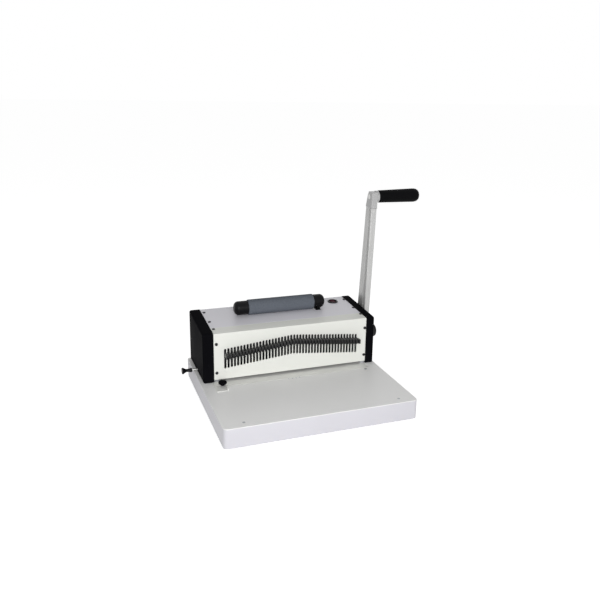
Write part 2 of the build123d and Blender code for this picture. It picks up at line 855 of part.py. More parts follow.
with BuildPart() as lever_washer:
    with BuildSketch(side(out_w + washer_gap, pivot_y, pivot_z)):
        Circle(washer_r)
        Circle(shaft_r, mode=Mode.SUBTRACT)
    extrude(amount=washer_t - washer_gap)
lever_washer.part.label = "lever_washer"
export_step(lever_washer.part, "parts/lever_washer.step")

with BuildPart() as lever_bar:
    with BuildSketch(lever_plane(bar_in)):
        Polygon((-bar_w / 2, -bar_tail), (bar_w / 2 + bar_swell, -bar_tail),
                (bar_w / 2, bar_top), (-bar_w / 2, bar_top), align=None)
    extrude(amount=bar_t)
    long_edges = lever_bar.edges().filter_by(
        lambda edge: edge.length > bar_top)
    fillet(long_edges, bar_edge)
    with BuildSketch(lever_plane(bar_in)):
        with Locations((groove_y, bar_top / 2 + bar_tail)):
            Rectangle(groove_w, bar_top)
    extrude(amount=groove_d, mode=Mode.SUBTRACT)
    with BuildSketch(lever_plane(bar_in)):
        Circle(shaft_r)
    extrude(amount=bar_t, mode=Mode.SUBTRACT)
lever_bar.part.label = "lever_bar"
export_step(lever_bar.part, "parts/lever_bar.step")

with BuildPart() as lever_head:
    with BuildSketch(lever_plane(bar_in - head_extra)):
        half = bar_w / 2 + head_extra
        crest = bar_top + head_h
        rear = half - head_lean
        Polygon((-half, bar_top), (half, bar_top), (rear, crest - head_chamfer),
                (rear - head_chamfer / 2, crest), (-half, crest), align=None)
    extrude(amount=bar_t + head_extra)
    fillet(lever_head.edges().filter_by(Axis.X), bar_edge)
    with BuildSketch(lever_plane(bar_in - head_extra, grip_axis)):
        Circle(axle_r)
    extrude(amount=2 * bar_t, mode=Mode.SUBTRACT)
lever_head.part.label = "lever_head"
export_step(lever_head.part, "parts/lever_head.step")

with BuildPart() as grip_axle:
    with BuildSketch(lever_plane(bar_in - head_extra, grip_axis)):
        Circle(axle_r)
    extrude(amount=bar_t + head_extra + collar_l + axle_l)
grip_axle.part.label = "grip_axle"
export_step(grip_axle.part, "parts/grip_axle.step")

with BuildPart() as grip_collar:
    with BuildSketch(lever_plane(bar_out, grip_axis)):
        Circle(collar_r)
        Circle(axle_r, mode=Mode.SUBTRACT)
    extrude(amount=collar_l)
    fillet(grip_collar.edges().filter_by(GeomType.CIRCLE).sort_by(Axis.X)[-1], bar_edge / 2)
grip_collar.part.label = "grip_collar"
export_step(grip_collar.part, "parts/grip_collar.step")

with BuildPart() as lever_grip:
    root = lever_plane(bar_out + collar_l, grip_axis)
    with BuildSketch(root):
        Circle(grip_r_in)
    with BuildSketch(root.offset(grip_l - grip_round)):
        Circle(grip_r_out)
    loft()
    with BuildSketch(root.offset(grip_l - grip_round)):
        Circle(grip_r_out)
    extrude(amount=grip_round)
    ends = lever_grip.edges().filter_by(GeomType.CIRCLE).sort_by(Axis.X)
    fillet(ends[-1], grip_round * grip_round_share)
    fillet(lever_grip.edges().filter_by(GeomType.CIRCLE).sort_by(Axis.X)[0], bar_edge)
    with BuildSketch(root):
        Circle(axle_r)
    extrude(amount=axle_l, mode=Mode.SUBTRACT)
lever_grip.part.label = "lever_grip"
export_step(lever_grip.part, "parts/lever_grip.step")

with BuildPart() as lever_hub:
    with BuildSketch(side(bar_out, pivot_y, pivot_z)):
        Circle(hub_r)
        Circle(shaft_r, mode=Mode.SUBTRACT)
    extrude(amount=hub_l)
lever_hub.part.label = "lever_hub"
export_step(lever_hub.part, "parts/lever_hub.step")

with BuildPart() as hub_cap:
    with BuildSketch(side(bar_out + hub_l, pivot_y, pivot_z)):
        Circle(hub_r)
    extrude(amount=cap_dome)
    fillet(hub_cap.edges().filter_by(GeomType.CIRCLE).sort_by(Axis.X)[-1], cap_dome * 2 / 3)
hub_cap.part.label = "hub_cap"
export_step(hub_cap.part, "parts/hub_cap.step")

# Margin control: a backstop plate behind the pins, driven by two small pinions on a rod
stop_behind = 3.5
stop_front = pin_y + stop_behind
stop_back = 66
stop_low = 0.05
margin_module = 2 * margin_r / margin_teeth
margin_pressure = 25
margin_add = 0.6
margin_ded = 0.9
margin_slack = 0.12
margin_x = 60
margin_w = 8
rack_front = 50
rod_right = plate_out
stop_room = 5
stop_half = plate_in - stop_room

with BuildPart() as backstop_plate:
    plate_top = margin_z - margin_r + margin_add
    with Locations(pt(0, (stop_front + stop_back) / 2, stop_low)):
        Box(2 * stop_half, stop_back - stop_front, plate_top - stop_low,
            align=(Align.CENTER, Align.CENTER, Align.MIN))
    for x in (-margin_x, margin_x):
        with Locations(pt(x, (rack_front + stop_back) / 2, stop_low)):
            Box(margin_w + 2 * fit_gap, stop_back - rack_front, 2 * margin_r,
                align=(Align.CENTER, Align.CENTER, Align.MIN), mode=Mode.SUBTRACT)
        with BuildSketch(mesh_plane(x - margin_w / 2 - fit_gap, margin_y, margin_z, (0, 0, -1))):
            Polygon(*rack_points(margin_r, pi * margin_module, margin_pressure, margin_add,
                                 margin_ded, margin_slack, rack_front - margin_y,
                                 stop_back - margin_y, margin_z - stop_low), align=None)
        extrude(amount=margin_w + 2 * fit_gap)
backstop_plate.part.label = "backstop_plate"
export_step(backstop_plate.part, "parts/backstop_plate.step")

with BuildPart() as margin_rod:
    with BuildSketch(side(-left_w - rod_show - knob_len / 2, margin_y, margin_z)):
        Circle(rod_r)
    extrude(amount=left_w + rod_show + knob_len / 2 + rod_right)
margin_rod.part.label = "margin_rod"
export_step(margin_rod.part, "parts/margin_rod.step")

with BuildPart() as margin_pinions:
    for x in (-margin_x, margin_x):
        with BuildSketch(mesh_plane(x - margin_w / 2, margin_y, margin_z, (0, 0, -1))):
            Polygon(*gear_points(margin_teeth, margin_r, margin_pressure, margin_add,
                                 margin_ded, margin_slack), align=None)
            Circle(rod_r, mode=Mode.SUBTRACT)
        extrude(amount=margin_w)
margin_pinions.part.label = "margin_pinions"
export_step(margin_pinions.part, "parts/margin_pinions.step")

knob_in_r = 4.2
knob_waist_r = 3
knob_tip_r = 6.6
knob_face = 2.5

with BuildPart() as margin_knob:
    with BuildSketch(front(margin_y, -left_w - rod_show, margin_z)):
        with BuildLine():
            Polyline((0, rod_r), (0, knob_in_r), (-knob_face, knob_in_r))
            Spline((-knob_face, knob_in_r), (-knob_len / 2, knob_waist_r),
                   (knob_face - knob_len, knob_tip_r), tangents=((-1, 0), (-1, 1)))
            Polyline((knob_face - knob_len, knob_tip_r), (-knob_len, knob_tip_r), (-knob_len, 0),
                     (-knob_len / 2, 0), (-knob_len / 2, rod_r), (0, rod_r))
        make_face()
    revolve(axis=Axis(pt(0, margin_y, margin_z), (1, 0, 0)))
margin_knob.part.label = "margin_knob"
export_step(margin_knob.part, "parts/margin_knob.step")

# Side guide: a slotted bracket that slides on the lip under a thumb knob
guide_out = 16.6
guide_in = 5.7
guide_left = stud_x - guide_out
guide_fence = stud_x + guide_in
guide_y_front = -46
guide_y_back = -2.5
guide_t = 1.2
fence_t = 1.5
fence_h = 4
slot_out = 11.1
slot_in = 3
slot_left = stud_x - slot_out
slot_right = stud_x + slot_in
guide_slot_w = 4.6
thumb_r = 8.2
thumb_low = 4.8
thumb_high = 9
thumb_hub_r = 3.8
stud_top = 7.8
knurls = 18
knurl_r = 0.9

with BuildPart() as side_guide:
    with Locations(pt(guide_left, guide_y_front, shaft_gap)):
        Box(guide_fence - guide_left, guide_y_back - guide_y_front, guide_t,
            align=(Align.MIN, Align.MIN, Align.MIN))
    with Locations(pt(guide_fence - fence_t, guide_y_front, shaft_gap)):
        Box(fence_t, guide_y_back - guide_y_front, fence_h,
            align=(Align.MIN, Align.MIN, Align.MIN))
    with BuildSketch(flat((slot_left + slot_right) / 2, stud_y, 0)):
        SlotOverall(slot_right - slot_left, guide_slot_w)
    extrude(amount=fence_h, mode=Mode.SUBTRACT)
side_guide.part.label = "side_guide"
export_step(side_guide.part, "parts/side_guide.step")

with BuildPart() as guide_stud:
    with BuildSketch(flat(stud_x, stud_y, -stud_depth)):
        Circle(stud_r)
    extrude(amount=stud_depth + stud_top)
guide_stud.part.label = "guide_stud"
export_step(guide_stud.part, "parts/guide_stud.step")

with BuildPart() as guide_knob:
    with BuildSketch(flat(stud_x, stud_y, thumb_low)):
        Circle(thumb_r)
        with PolarLocations(thumb_r + knurl_r / 3, knurls):
            Circle(knurl_r, mode=Mode.SUBTRACT)
    extrude(amount=thumb_high - thumb_low)
    with BuildSketch(flat(stud_x, stud_y, guide_t + 2 * shaft_gap)):
        Circle(thumb_hub_r)
    extrude(amount=thumb_low - guide_t - 2 * shaft_gap)
    with BuildSketch(flat(stud_x, stud_y, 0)):
        Circle(stud_r + shaft_gap)
    extrude(amount=stud_top + fit_gap, mode=Mode.SUBTRACT)
guide_knob.part.label = "guide_knob"
export_step(guide_knob.part, "parts/guide_knob.step")

# Chip drawer under the die, pulled out at the back, between two runners
drawer_front = -4
drawer_t = 1.5
pull_w = 60
pull_h = 9
runner_t = 1.5
runner_foot = 6

with BuildPart() as chip_drawer:
    drawer_low = sheet_t - base_h + shaft_gap
    drawer_l = base_back - drawer_front
    with Locations(pt(0, (base_back + drawer_front) / 2, drawer_low)):
        Box(2 * drawer_half, drawer_l, -drawer_top - drawer_low,
            align=(Align.CENTER, Align.CENTER, Align.MIN))
    with Locations(pt(0, (base_back + drawer_front) / 2, drawer_low + drawer_t)):
        Box(2 * (drawer_half - drawer_t), drawer_l - 2 * drawer_t, base_h,
            align=(Align.CENTER, Align.CENTER, Align.MIN), mode=Mode.SUBTRACT)
    with BuildSketch(front(base_back, 0, -drawer_top)):
        Rectangle(pull_w, 2 * pull_h)
    extrude(amount=2 * drawer_t, both=True, mode=Mode.SUBTRACT)
chip_drawer.part.label = "chip_drawer"
export_step(chip_drawer.part, "parts/chip_drawer.step")

with BuildPart() as drawer_runners:
    for hand in (-1, 1):
        near = drawer_half + drawer_mouth
        with Locations(pt(hand * (near + runner_t / 2), base_back / 2, sheet_t - base_h)):
            Box(runner_t, base_back - 2 * sheet_t, base_h / 2,
                align=(Align.CENTER, Align.CENTER, Align.MIN))
        with Locations(pt(hand * (near + runner_foot / 2), base_back / 2, sheet_t - base_h)):
            Box(runner_foot, base_back - 2 * sheet_t, runner_t,
                align=(Align.CENTER, Align.CENTER, Align.MIN))
drawer_runners.part.label = "drawer_runners"
export_step(drawer_runners.part, "parts/drawer_runners.step")

# Coil roller: rubber sleeve on a steel axle between two black bearing blocks on the top
roller_h = roller_r + fit_gap
roller_axle_r = 4
block_gap = 0.5
block_wall = 2
block_foot = 6
foot_behind = 8
pulley_r = 9.5
pulley_w = 7
pulley_flange = 1
belt_w = 6
belt_t = 1.4
motor_r = 18
motor_y = 77
motor_drop = 25
motor_z = front_h - motor_drop
motor_l = 55
motor_pulley_r = 6
motor_shaft_r = 2.5
left_block_x = roller_from - left_block_l
right_block_x = roller_to + right_block_l
axis_plane = top(0, roller_s, roller_h)
axis_y = axis_plane.origin.Y - face_y
axis_z = axis_plane.origin.Z - deck_z
dome = 9


def block(start, stop, dome_end):
    """A bearing block: a round barrel with a domed outer end on a foot that meets the cover."""
    with BuildPart() as body:
        with BuildSketch(side(start, axis_y, axis_z)):
            Circle(block_r)
        extrude(amount=stop - start)
        rim = body.edges().filter_by(GeomType.CIRCLE).sort_by(Axis.X)[0 if dome_end < 0 else -1]
        fillet(rim, dome)
        inset = [dome, 0] if dome_end < 0 else [0, dome]
        with BuildSketch(top((start + stop + inset[0] - inset[1]) / 2, roller_s + foot_behind)):
            Rectangle(stop - start - inset[0] - inset[1], block_foot)
        extrude(amount=roller_h / 2)
    return body


with BuildPart() as left_bearing_block:
    add(block(left_block_x, roller_from - block_gap, -1).part)
    with BuildSketch(side(roller_from - block_gap, axis_y, axis_z)):
        Circle(roller_axle_r + shaft_gap)
    extrude(amount=-left_block_l + block_wall + block_gap, mode=Mode.SUBTRACT)
left_bearing_block.part.label = "left_bearing_block"
export_step(left_bearing_block.part, "parts/left_bearing_block.step")

with BuildPart() as right_drive_block:
    add(block(roller_to + block_gap, right_block_x, 1).part)
    with BuildSketch(side(belt_x - pulley_w, axis_y, axis_z)):
        Circle(block_r - block_wall)
    extrude(amount=2 * pulley_w, mode=Mode.SUBTRACT)
    with BuildSketch(top(belt_x, roller_s)):
        Rectangle(belt_slot_w, 2 * (block_r - block_wall))
    extrude(amount=roller_h, mode=Mode.SUBTRACT)
    with BuildSketch(side(roller_to, axis_y, axis_z)):
        Circle(roller_axle_r + shaft_gap)
    extrude(amount=right_block_l - block_wall, mode=Mode.SUBTRACT)
right_drive_block.part.label = "right_drive_block"
export_step(right_drive_block.part, "parts/right_drive_block.step")

with BuildPart() as coil_roller:
    with BuildSketch(side(roller_from, axis_y, axis_z)):
        Circle(roller_r)
        Circle(roller_axle_r, mode=Mode.SUBTRACT)
    extrude(amount=roller_to - roller_from)
coil_roller.part.label = "coil_roller"
export_step(coil_roller.part, "parts/coil_roller.step")

with BuildPart() as roller_axle:
    axle_from = left_block_x + block_wall + block_gap
    axle_to = right_block_x - block_wall - block_gap
    with BuildSketch(side(axle_from, axis_y, axis_z)):
        Circle(roller_axle_r)
    extrude(amount=axle_to - axle_from)
roller_axle.part.label = "roller_axle"
export_step(roller_axle.part, "parts/roller_axle.step")


def pulley(x, y, z, r, bore):
    """A flanged belt pulley on a shaft along X."""
    with BuildPart() as wheel:
        with BuildSketch(side(x - pulley_w / 2, y, z)):
            Circle(r)
        extrude(amount=pulley_w)
        for start in (x - pulley_w / 2, x + belt_w / 2):
            with BuildSketch(side(start, y, z)):
                Circle(r + pulley_flange)
            extrude(amount=(pulley_w - belt_w) / 2)
        with BuildSketch(side(x - pulley_w, y, z)):
            Circle(bore)
        extrude(amount=2 * pulley_w, mode=Mode.SUBTRACT)
    return wheel.part


roller_pulley = pulley(belt_x, axis_y, axis_z, pulley_r, roller_axle_r)
roller_pulley.label = "roller_pulley"
export_step(roller_pulley, "parts/roller_pulley.step")
motor_pulley = pulley(belt_x, motor_y, motor_z, motor_pulley_r, motor_shaft_r)
motor_pulley.label = "motor_pulley"
export_step(motor_pulley, "parts/motor_pulley.step")


def belt_points(x_r, y_r):
    """Where the outer tangents of two circles touch them, for a belt in the YZ plane."""
    span = hypot(axis_y - motor_y, axis_z - motor_z)
    along = atan2(axis_z - motor_z, axis_y - motor_y)
    turn = acos((y_r - x_r) / span)
    points = []
    for a in (along + turn, along - turn):
        points.append((motor_y + y_r * cos(a), motor_z + y_r * sin(a)))
        points.append((axis_y + x_r * cos(a), axis_z + x_r * sin(a)))
    return points


def belt_face(grow):
    """The belt's outline in the YZ plane, grown from the pulleys' running radii."""
    low_l, up_l, low_r, up_r = belt_points(pulley_r + grow, motor_pulley_r + grow)
    crown = (axis_y, axis_z + pulley_r + grow)
    sole = (motor_y, motor_z - motor_pulley_r - grow)
    with BuildSketch(side(belt_x), mode=Mode.PRIVATE) as outline:
        with BuildLine():
            Line(low_l, up_l)
            ThreePointArc(up_l, crown, up_r)
            Line(up_r, low_r)
            ThreePointArc(low_r, sole, low_l)
        make_face()
    return outline.sketch


with BuildPart() as drive_belt:
    extrude(belt_face(shaft_gap + belt_t), amount=belt_w / 2, both=True)
    extrude(belt_face(shaft_gap), amount=belt_w, both=True, mode=Mode.SUBTRACT)
drive_belt.part.label = "drive_belt"
export_step(drive_belt.part, "parts/drive_belt.step")

# Motor on a bracket under the top cover
bracket_x = belt_x - 2 * pulley_w
plate_thick = 2.5
motor_boss_r = 7
motor_boss = 4
motor_plate_half = 20

with BuildPart() as motor_shaft:
    with BuildSketch(side(bracket_x - motor_l / 2, motor_y, motor_z)):
        Circle(motor_shaft_r)
    extrude(amount=motor_l / 2 + 3 * pulley_w)
motor_shaft.part.label = "motor_shaft"
export_step(motor_shaft.part, "parts/motor_shaft.step")

with BuildPart() as gear_motor:
    with BuildSketch(side(bracket_x - motor_l, motor_y, motor_z)):
        Circle(motor_r)
    extrude(amount=motor_l)
    fillet(gear_motor.edges().filter_by(GeomType.CIRCLE), bend_r)
    with BuildSketch(side(bracket_x, motor_y, motor_z)):
        Circle(motor_boss_r)
    extrude(amount=motor_boss)
    with BuildSketch(side(bracket_x + motor_boss, motor_y, motor_z)):
        Circle(motor_shaft_r + shaft_gap)
    extrude(amount=-motor_boss - motor_l / 2, mode=Mode.SUBTRACT)
gear_motor.part.label = "gear_motor"
export_step(gear_motor.part, "parts/gear_motor.step")

with BuildPart() as motor_bracket:
    with BuildSketch(side(bracket_x)):
        Polygon((motor_y - motor_plate_half, motor_z - motor_plate_half),
                (motor_y + motor_plate_half, motor_z - motor_plate_half),
                (motor_y + motor_plate_half, roof(motor_y + motor_plate_half, sheet_t)),
                (motor_y - motor_plate_half, roof(motor_y - motor_plate_half, sheet_t)), align=None)
        with Locations((motor_y, motor_z)):
            Circle(motor_boss_r, mode=Mode.SUBTRACT)
    extrude(amount=plate_thick)
motor_bracket.part.label = "motor_bracket"
export_step(motor_bracket.part, "parts/motor_bracket.step")

# Round power switch: bezel with its body through the cover, and a rocker that tips in it
bezel_r = 11
bezel_h = 2
rocker_r = 6.8
rocker_room = 1.4
rocker_h = 3.2
rocker_deep = 6
switch_deep = 16
switch_wall = 1.5
rocker_half = 4.6

with BuildPart() as switch_bezel:
    with BuildSketch(top(switch_x, switch_s)):
        Circle(bezel_r)
    extrude(amount=bezel_h)
    fillet(switch_bezel.edges().filter_by(GeomType.CIRCLE).sort_by(Axis.Z)[-1], bezel_h / 2)
    with BuildSketch(top(switch_x, switch_s)):
        Circle(switch_r - shaft_gap)
    extrude(amount=-switch_deep)
    with BuildSketch(top(switch_x, switch_s, bezel_h)):
        Circle(rocker_r + rocker_room)
    extrude(amount=-bezel_h - switch_deep + switch_wall, mode=Mode.SUBTRACT)
switch_bezel.part.label = "switch_bezel"
export_step(switch_bezel.part, "parts/switch_bezel.step")

with BuildPart() as switch_rocker:
    pivot = top(switch_x, switch_s, -rocker_deep / 2)
    rocker_side = Plane(origin=pivot.origin, x_dir=pivot.y_dir, z_dir=(1, 0, 0))
    with BuildSketch(rocker_side):
        Circle(rocker_deep / 2)
        with BuildLine():
            Polyline((-rocker_r, 0), (rocker_r, 0), (rocker_r, rocker_deep / 2 + rocker_h),
                     (0, rocker_deep / 2 + rocker_h / 2),
                     (-rocker_r, rocker_deep / 2 + rocker_h / 2), close=True)
        make_face()
    extrude(amount=rocker_half, both=True)
    with BuildSketch(Plane(origin=pivot.origin, x_dir=(1, 0, 0), z_dir=pivot.z_dir)):
        Circle(rocker_r)
    extrude(amount=2 * rocker_deep, both=True, mode=Mode.INTERSECT)
    with BuildSketch(rocker_side):
        Circle(rocker_deep / 4)
    extrude(amount=rocker_r + rocker_room - fit_gap, both=True)
switch_rocker.part.label = "switch_rocker"
export_step(switch_rocker.part, "parts/switch_rocker.step")

# Power inlet in the rear cover, with its three blades
inlet_flange = 2.5
inlet_flange_t = 2
inlet_deep = 18
inlet_wall = 2
blade_w = 2
blade_l = 13
blade_t = 4
blade_x = 7
blade_drop = 2

with BuildPart() as inlet_shell:
    with BuildSketch(front(body_d, inlet_x, inlet_z)):
        RectangleRounded(inlet_w + 2 * inlet_flange, inlet_h + 2 * inlet_flange, inlet_flange)
    extrude(amount=-inlet_flange_t)
    with BuildSketch(front(body_d, inlet_x, inlet_z)):
        Rectangle(inlet_w, inlet_h)
    extrude(amount=inlet_deep)
    with BuildSketch(front(body_d + inlet_flange_t, inlet_x, inlet_z)):
        RectangleRounded(inlet_w - 2 * inlet_wall, inlet_h - 2 * inlet_wall, inlet_wall)
    extrude(amount=inlet_deep, mode=Mode.SUBTRACT)

with BuildPart() as inlet_blades:
    with BuildSketch(front(body_d + inlet_flange_t - inlet_deep, inlet_x, inlet_z)):
        with Locations((-blade_x, -blade_drop), (blade_x, -blade_drop), (0, blade_drop)):
            Rectangle(blade_w, blade_t)
    extrude(amount=-blade_l)

power_inlet = Compound(children=inlet_shell.part.solids() + inlet_blades.part.solids())
power_inlet.label = "power_inlet"
export_step(power_inlet, "parts/power_inlet.step")
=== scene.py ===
import json
import math

import bmesh
import bpy
from mathutils import Matrix, Vector


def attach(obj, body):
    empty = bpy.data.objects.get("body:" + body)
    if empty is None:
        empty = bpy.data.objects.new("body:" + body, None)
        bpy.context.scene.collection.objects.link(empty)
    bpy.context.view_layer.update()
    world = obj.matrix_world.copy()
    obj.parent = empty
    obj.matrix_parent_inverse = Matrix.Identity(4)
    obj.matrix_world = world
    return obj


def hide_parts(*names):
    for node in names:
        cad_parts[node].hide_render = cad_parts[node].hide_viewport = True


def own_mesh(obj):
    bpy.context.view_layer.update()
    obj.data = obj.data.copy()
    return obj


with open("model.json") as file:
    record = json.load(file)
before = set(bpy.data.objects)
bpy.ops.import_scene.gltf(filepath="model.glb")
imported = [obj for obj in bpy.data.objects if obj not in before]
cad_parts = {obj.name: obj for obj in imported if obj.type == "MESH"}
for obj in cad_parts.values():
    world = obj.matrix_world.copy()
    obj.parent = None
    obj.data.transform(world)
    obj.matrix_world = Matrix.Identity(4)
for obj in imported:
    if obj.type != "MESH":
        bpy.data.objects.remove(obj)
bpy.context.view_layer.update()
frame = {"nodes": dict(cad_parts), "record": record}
nodes = frame["nodes"]
scene = bpy.context.scene
mm = 0.001

# the machine's own origin, at the middle of the foot of its front face, in the frame of the part,
# with the slope of its top, the lean of its lever and the lever's pivot (Y, Z)
machine = {"midX": -40.5, "faceY": 26.5, "deckZ": 44.0, "topRise": 8.0, "bodyDepth": 131.0,
           "frontHeight": 98.0, "leanDeg": 3.8, "pivot": (75.0, 40.4)}
slope = math.atan2(machine["topRise"], machine["bodyDepth"])
lean = math.radians(machine["leanDeg"])
screenCurve = {"knee": 0.04045, "lowSlope": 12.92, "offset": 0.055, "power": 2.4}


def at(x, y, z):
    return Vector((x + machine["midX"], y + machine["faceY"], z + machine["deckZ"])) * mm


def onTop(x, s, h=0.0):  # s runs up the slope from the front edge, h stands off it
    return at(x, s * math.cos(slope) - h * math.sin(slope),
              machine["frontHeight"] + s * math.sin(slope) + h * math.cos(slope))


def onLever(x, side, up):  # side runs back across the bar, up runs along it from the pivot
    y, z = machine["pivot"]
    return at(x, y + side * math.cos(lean) - up * math.sin(lean),
              z + side * math.sin(lean) + up * math.cos(lean))


def linear(*rgb):  # a colour as read off a screen, 0 to 255, made linear
    c = screenCurve
    shares = [value / 255 for value in rgb]
    return (*[v / c["lowSlope"] if v <= c["knee"] else ((v + c["offset"]) / (1 + c["offset"])) ** c["power"]
              for v in shares], 1.0)


def shade(colour, factor):
    return (*[min(1.0, c * factor) for c in colour[:3]], 1.0)


# nodes: a socket's value that can be added, taken away and multiplied, and one way to add any node
class Wire:
    def __init__(self, sheet, socket):
        self.sheet = sheet
        self.socket = socket

    def math(self, kind, first, second, clamp=False):
        settings = {"operation": kind, "use_clamp": clamp}
        return self.sheet.add("ShaderNodeMath", settings, {0: first, 1: second})

    def __add__(self, other):
        return self.math("ADD", self, other)

    def __sub__(self, other):
        return self.math("SUBTRACT", self, other)

    def __rsub__(self, other):
        return self.math("SUBTRACT", other, self)

    def __mul__(self, other):
        return self.math("MULTIPLY", self, other)

    def clamped(self):
        return self.math("ADD", self, 0.0, True)


class Sheet:
    def __init__(self, tree):
        self.tree = tree

    def add(self, kind, settings=None, sockets=None, out=0):
        made = self.tree.nodes.new(kind)
        for key, value in (settings or {}).items():
            setattr(made, key, value)
        for key, value in (sockets or {}).items():
            if isinstance(value, Wire):
                self.tree.links.new(value.socket, made.inputs[key])
            else:
                made.inputs[key].default_value = value
        return Wire(self, made.outputs[out]) if made.outputs else None

    def colours(self, factor, first, second):  # mixes two colours
        return self.add("ShaderNodeMix", {"data_type": "RGBA"}, {0: factor, 6: first, 7: second}, 2)

    def place(self, scale=(1, 1, 1), turn=(0, 0, 0)):  # object coordinates, turned and stretched
        plain = self.add("ShaderNodeTexCoord", out="Object")
        turned = self.add("ShaderNodeMapping", {}, {"Vector": plain, "Rotation": turn})
        return self.add("ShaderNodeMapping", {}, {"Vector": turned, "Scale": scale})

    def noise(self, where, scale, detail=2.0, rough=0.5):
        return self.add("ShaderNodeTexNoise", {},
                        {"Vector": where, "Scale": scale, "Detail": detail, "Roughness": rough}, "Fac")

    def cells(self, where, scale):
        return self.add("ShaderNodeTexVoronoi", {}, {"Vector": where, "Scale": scale}, "Distance")

    def spread(self, value, low, high):  # opens a narrow range out to 0 to 1
        return self.add("ShaderNodeMapRange", {"clamp": True}, {0: value, 1: low, 2: high, 3: 0.0, 4: 1.0})

    def edges(self, width, samples=4, gain=9):  # up to 1 near an edge, 0 on flat faces
        soft = self.add("ShaderNodeBevel", {"samples": samples}, {"Radius": width})
        plain = self.add("ShaderNodeNewGeometry", out="Normal")
        dot = self.add("ShaderNodeVectorMath", {"operation": "DOT_PRODUCT"}, {0: soft, 1: plain}, "Value")
        return ((1 - dot) * gain).clamped()

    def drift(self, scale, detail, low=0.3, high=0.7):  # broad, slow changes, 0 to 1
        return self.spread(self.noise(self.place(), scale, detail), low, high)

    def either(self, factor, colour, share):  # a colour a share darker or lighter
        return self.colours(factor, shade(colour, 1 - share), shade(colour, 1 + share))

    def plainBump(self, strength, distance, height):
        return self.add("ShaderNodeBump", {}, {"Strength": strength, "Distance": distance, "Height": height})


finishes = {}


def finish(name, build, recipe):
    material = bpy.data.materials.new(name)
    material.use_nodes = True
    tree = material.node_tree
    tree.nodes.clear()
    sheet = Sheet(tree)
    surface = build(sheet, recipe)
    sheet.add("ShaderNodeOutputMaterial", {}, {"Surface": surface})
    finishes[name] = material
    return material


def paintWork(sheet, r):  # sprayed metal: faint drift of tone, orange peel, fine flakes, thin edges painted lighter, part wear and part painted highlight
    where = sheet.place()
    drift = sheet.drift(r["driftScale"], detail=3.0)
    peel = sheet.noise(where, r["peelScale"])
    flakes = sheet.spread(sheet.cells(where, r["flakeScale"]), 0.0, r["flakeSize"])
    colour = sheet.either(drift, r["colour"], r["drift"])
    colour = sheet.colours((1 - flakes) * r["flake"], colour, shade(r["colour"], r["flakeTone"]))
    # edges painted lighter: part wear, part painted highlight
    colour = sheet.colours(sheet.edges(r["edgeWidth"]) * r["edge"], colour, r["edgeColour"])
    rough = (drift - 0.5) * r["roughDrift"] + (flakes - 0.5) * r["roughFlake"] + r["rough"]
    return sheet.add("ShaderNodeBsdfPrincipled", {}, {
        "Base Color": colour, "Roughness": rough, "Metallic": r["metallic"],
        "Normal": sheet.plainBump(r["peel"], r["peelDepth"], peel),
        "Coat Weight": r["coat"], "Coat Roughness": r["coatRough"]})


def mouldWork(sheet, r):  # moulded plastic or rubber: fine grain, dull patches, edges painted lighter, part wear and part painted highlight
    where = sheet.place()
    drift = sheet.drift(r["driftScale"], detail=4.0)
    grain = sheet.cells(where, r["grainScale"]) + sheet.noise(where, r["grainScale"] * r["grainFine"])
    colour = sheet.either(drift, r["colour"], r["drift"])
    colour = sheet.colours((grain * r["speckleGain"]).clamped() * r["speckle"], colour, r["speckleColour"])
    # edges painted lighter: part wear, part painted highlight
    colour = sheet.colours(sheet.edges(r["edgeWidth"]) * r["edge"], colour, r["edgeColour"])
    rough = (drift - 0.5) * r["roughDrift"] + r["rough"]
    return sheet.add("ShaderNodeBsdfPrincipled", {}, {
        "Base Color": colour, "Roughness": rough, "Metallic": 0.0,
        "Normal": sheet.plainBump(r["grain"], r["grainDepth"], grain),
        "Specular IOR Level": r["specular"]})


def metalWork(sheet, r):  # bare or plated metal with lines along one way
    lines = sheet.noise(sheet.place(r["stretch"], r["turn"]), scale=1.0, detail=3.0, rough=r["lineRough"])
    lines = sheet.spread(lines, *r["lineBand"])
    drift = sheet.drift(r["driftScale"], detail=3.0)
    colour = sheet.either(lines, r["colour"], r["line"])
    colour = sheet.colours(drift * r["stain"], colour, shade(r["colour"], r["stainTone"]))
    # edges painted lighter: part wear, part painted highlight
    colour = sheet.colours(sheet.edges(r["edgeWidth"]) * r["edge"], colour, shade(r["colour"], r["edgeTone"]))
    rough = (lines - 0.5) * r["roughLine"] + (drift - 0.5) * r["roughDrift"] + r["rough"]
    return sheet.add("ShaderNodeBsdfPrincipled", {}, {
        "Base Color": colour, "Roughness": rough, "Metallic": r["metallic"],
        "Normal": sheet.plainBump(r["depth"], r["lineDepth"], lines)})


paint = {"colour": linear(226, 227, 221), "drift": 0.012, "driftScale": 7.0,
         "peelScale": 1300.0, "peel": 0.12, "peelDepth": 0.0002,
         "flakeScale": 2300.0, "flakeSize": 0.35, "flake": 0.35, "flakeTone": 1.12,
         "rough": 0.42, "roughDrift": 0.08, "roughFlake": 0.04,
         "metallic": 0.0, "coat": 0.1, "coatRough": 0.25,
         "edgeWidth": 0.0008, "edge": 0.35, "edgeColour": linear(240, 240, 238)}
mould = {"colour": linear(12, 12, 15), "drift": 0.2, "driftScale": 9.0,
         "grainScale": 1700.0, "grainFine": 1.7, "grain": 0.25, "grainDepth": 0.00012,
         "speckle": 0.2, "speckleGain": 0.7, "speckleColour": linear(24, 24, 27),
         "rough": 0.44, "roughDrift": 0.12, "specular": 0.0015,
         "edgeWidth": 0.001, "edge": 0.3, "edgeColour": linear(38, 38, 42)}
metal = {"colour": linear(205, 205, 203), "driftScale": 14.0, "stain": 0.25, "stainTone": 0.72,
         "stretch": (900, 900, 14), "turn": (0, 0, 0),
         "line": 0.05, "lineRough": 0.6, "lineBand": (0.35, 0.65), "lineDepth": 0.0001, "depth": 0.12,
         "rough": 0.34, "roughLine": 0.12, "roughDrift": 0.1, "metallic": 1.0,
         "edgeWidth": 0.0005, "edge": 0.5, "edgeTone": 1.25}

